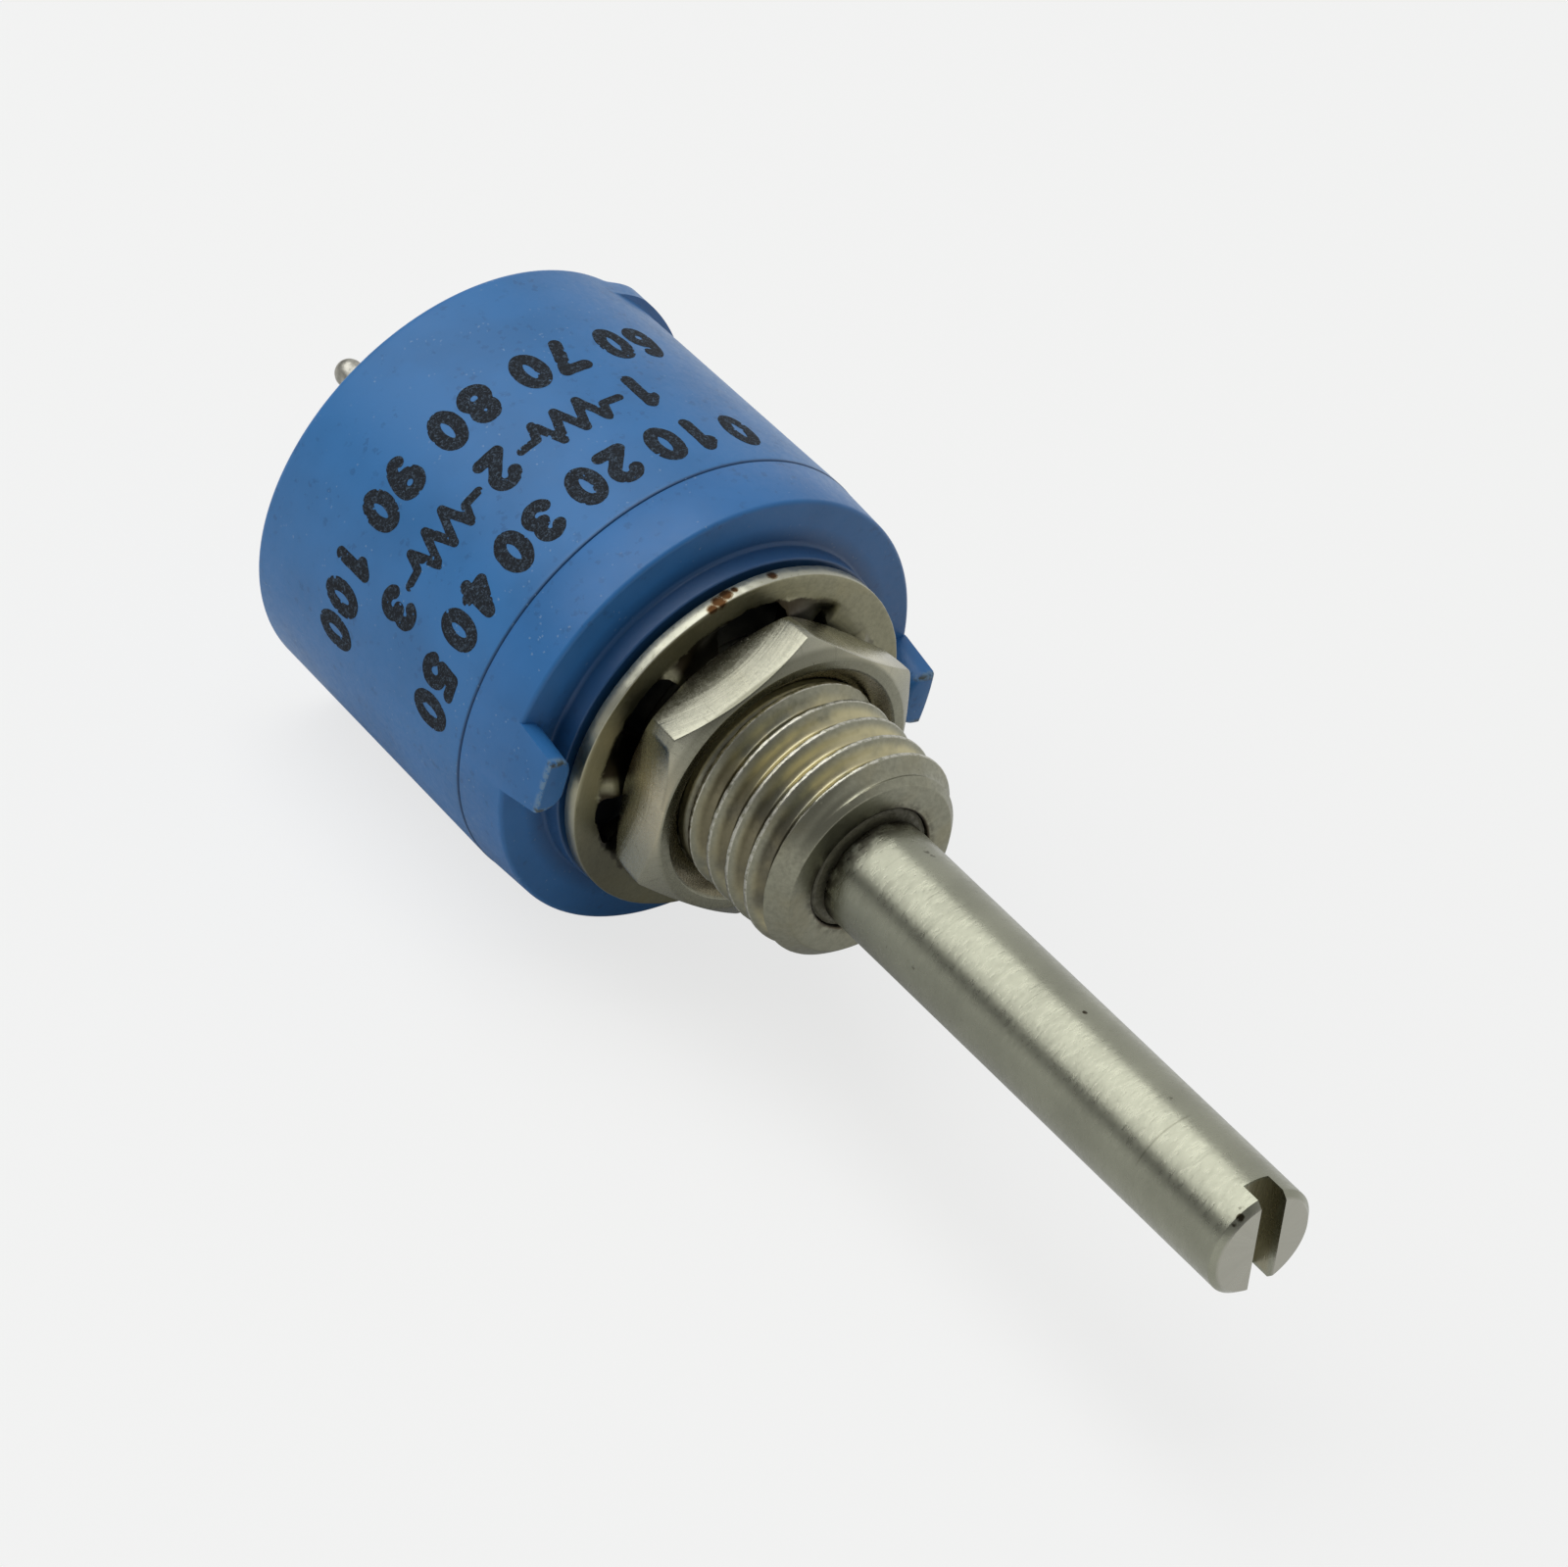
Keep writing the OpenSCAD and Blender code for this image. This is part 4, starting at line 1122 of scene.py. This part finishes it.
def make_camera():
    forward = Vector(CAMERA_FORWARD).normalized()
    right = forward.cross(Vector(CAMERA_UP)).normalized()
    up = right.cross(forward)
    data = bpy.data.cameras.new("camera")
    data.sensor_width = CAMERA_SENSOR
    data.lens = CAMERA_LENS
    data.clip_start = 0.01
    data.clip_end = 20
    camera = bpy.data.objects.new("camera", data)
    turn = Matrix((right, up, -forward)).transposed().to_4x4()
    camera.matrix_world = Matrix.Translation(Vector(CAMERA_PLACE) * MM) @ turn
    bpy.context.scene.collection.objects.link(camera)
    bpy.context.scene.camera = camera


def make_light():
    """One broad softbox overhead, to the left and behind, that faces straight down."""
    data = bpy.data.lights.new("key", "AREA")
    data.shape = "RECTANGLE"
    data.size, data.size_y = KEY_SIZE
    data.energy = KEY_POWER
    lamp = bpy.data.objects.new("key", data)
    lamp.location = KEY_PLACE
    lamp.rotation_euler = (0, 0, math.radians(KEY_TURN))
    bpy.context.scene.collection.objects.link(lamp)


def seen_directly(tree, seen_share, glossy_share):
    """The first share for rays from the camera or through glass, the second for reflections."""
    rays = tree.nodes.new("ShaderNodeLightPath")
    shown = add_math(tree, "MAXIMUM", rays.outputs["Is Camera Ray"], rays.outputs["Is Transmission Ray"])
    shown = add_math(tree, "MULTIPLY", shown, seen_share)
    mirrored = add_math(tree, "MULTIPLY", rays.outputs["Is Glossy Ray"], glossy_share)
    return add_math(tree, "MAXIMUM", shown, mirrored)


def make_floor():
    """Pale floor: mostly its own even white where it is seen, with a weak shadow left on it."""
    mesh = bpy.data.meshes.new("floor")
    half = 2.0
    z = FLOOR_Y * MM
    corners = [(-half, -half, z), (half, -half, z), (half, half, z), (-half, half, z)]
    mesh.from_pydata(corners, [], [(0, 1, 2, 3)])
    floor = link("floor", mesh)
    look = Look("floor", FLOOR_GREY, 0.9)
    look.shader.inputs["Specular IOR Level"].default_value = 0.0
    tree = look.tree
    white = tree.nodes.new("ShaderNodeEmission")
    white.inputs["Color"].default_value = (*PAPER, 1)
    both = tree.nodes.new("ShaderNodeMixShader")
    mirrored = look.ramp(look.distance((0, 5, FLOOR_Y)), 6, 38, 0.08, 0.95, smooth_step=False)
    dark = look.ramp(look.distance((-62, 42, FLOOR_Y)), 24, 54, 0.15, 1.0)
    seen = seen_directly(tree, PAPER_SHARE, look.both(mirrored, dark))
    tree.links.new(seen, both.inputs[0])
    tree.links.new(look.shader.outputs[0], both.inputs[1])
    tree.links.new(white.outputs[0], both.inputs[2])
    tree.links.new(both.outputs[0], tree.nodes["Material Output"].inputs["Surface"])
    mesh.materials.append(look.material)


def dim_towards(tree, place, direction, start, end, level):
    """1 away from a direction and the given level close to it."""
    turn = tree.nodes.new("ShaderNodeVectorMath")
    turn.operation = "DOT_PRODUCT"
    tree.links.new(place, turn.inputs[0])
    turn.inputs[1].default_value = direction
    dim = tree.nodes.new("ShaderNodeMapRange")
    dim.interpolation_type = "SMOOTHSTEP"
    tree.links.new(turn.outputs["Value"], dim.inputs["Value"])
    for name, value in (("From Min", start), ("From Max", end), ("To Min", 1.0), ("To Max", level)):
        dim.inputs[name].default_value = value
    return dim.outputs["Result"]


def make_world():
    """Even soft light; reflections see a white room with dimmer parts."""
    world = bpy.data.worlds.new("studio")
    bpy.context.scene.world = world
    world.use_nodes = True
    tree = world.node_tree
    back = tree.nodes["Background"]
    place = tree.nodes.new("ShaderNodeTexCoord").outputs["Generated"]
    room = ROOM_LEVEL
    for direction, start, end, level in DIM_PARTS:
        length = Vector(direction).length
        towards = tuple(c / length for c in direction)
        room = add_math(tree, "MULTIPLY", room, dim_towards(tree, place, towards, start, end, level))
    strength = add_math(tree, "MAXIMUM", seen_directly(tree, ROOM_LEVEL, room), FILL_LEVEL)
    tree.links.new(strength, back.inputs["Strength"])
    back.inputs["Color"].default_value = (1, 1, 1, 1)


def make_pieces():
    housing_blue = blue_plastic("housing_plastic", HOUSING_BLUE)
    cover_blue = cover_blue_look()
    bushing = bushing_look()
    pin_tin = plain_look("pin_tin", PIN_METAL, 0.4, 1.0)
    rubber = plain_look("seal_rubber", (0.05, 0.037, 0.02), 0.45)
    seal = plain_look("seal_face", (0.15, 0.142, 0.09), 0.6, scale=9)
    pieces = [
        (make_housing(), "body", "housing_plastic", housing_blue, "housing"),
        (make_cover(), "body", "cover_plastic", cover_blue, "front_cover"),
        (turned("visual_bushing", bushing_outline, even(192)), "body", "bushing_plate", bushing, "bushing"),
        (turned("visual_nut", nut_outline, nut_angles()), "body", "nut_plate", nut_look(), "hex_nut"),
        (turned("visual_washer", washer_outline, even(840)),
         "body", "washer_plate", washer_look(), "lock_washer"),
        (make_shaft(), "turning", "shaft_steel", shaft_look(), "shaft"),
        (turned("visual_shaft_seal", seal_outline, even(160)), "turning", "seal_rubber", seal, "shaft_seal"),
    ]
    for side, angle in PIN_ANGLES.items():
        pieces.append((pin_piece(side, angle), "body", "pin_tin", pin_tin, "terminal_" + side))
    for piece, body, slot, look, node in pieces:
        finish_shading(piece)
        dress(piece, body, slot, look, node)
    ink = ink_look()
    for piece in make_print():
        dress(piece, "body", "housing_plastic", ink)
    looks = {
        "cover_seal": rubber,
        "thrust_washer": plain_look("spring_brass", (0.6, 0.42, 0.16), 0.3, 1.0),
        "retaining_ring": plain_look("spring_steel", (0.25, 0.25, 0.25), 0.35, 1.0),
        "rotor": plain_look("rotor_plastic", (0.12, 0.07, 0.04), 0.55),
        "substrate": plain_look("ceramic_disc", (0.8, 0.8, 0.76), 0.7),
        "resistive_track": plain_look("resistor_ink", (0.02, 0.022, 0.022), 0.6, 0.0, 20),
        "collector_ring": plain_look("silver_ink", (0.6, 0.6, 0.6), 0.45, 1.0, 20),
    }
    looks["wiper"] = looks["thrust_washer"]
    looks["end_pad_left"] = looks["collector_ring"]
    looks["end_pad_right"] = looks["collector_ring"]
    for node, look in looks.items():
        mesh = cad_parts[node].data
        mesh.materials.clear()
        mesh.materials.append(look.material)


make_camera()
make_world()
make_light()
make_floor()
make_pieces()

bpy.context.scene.view_settings.view_transform = "Standard"
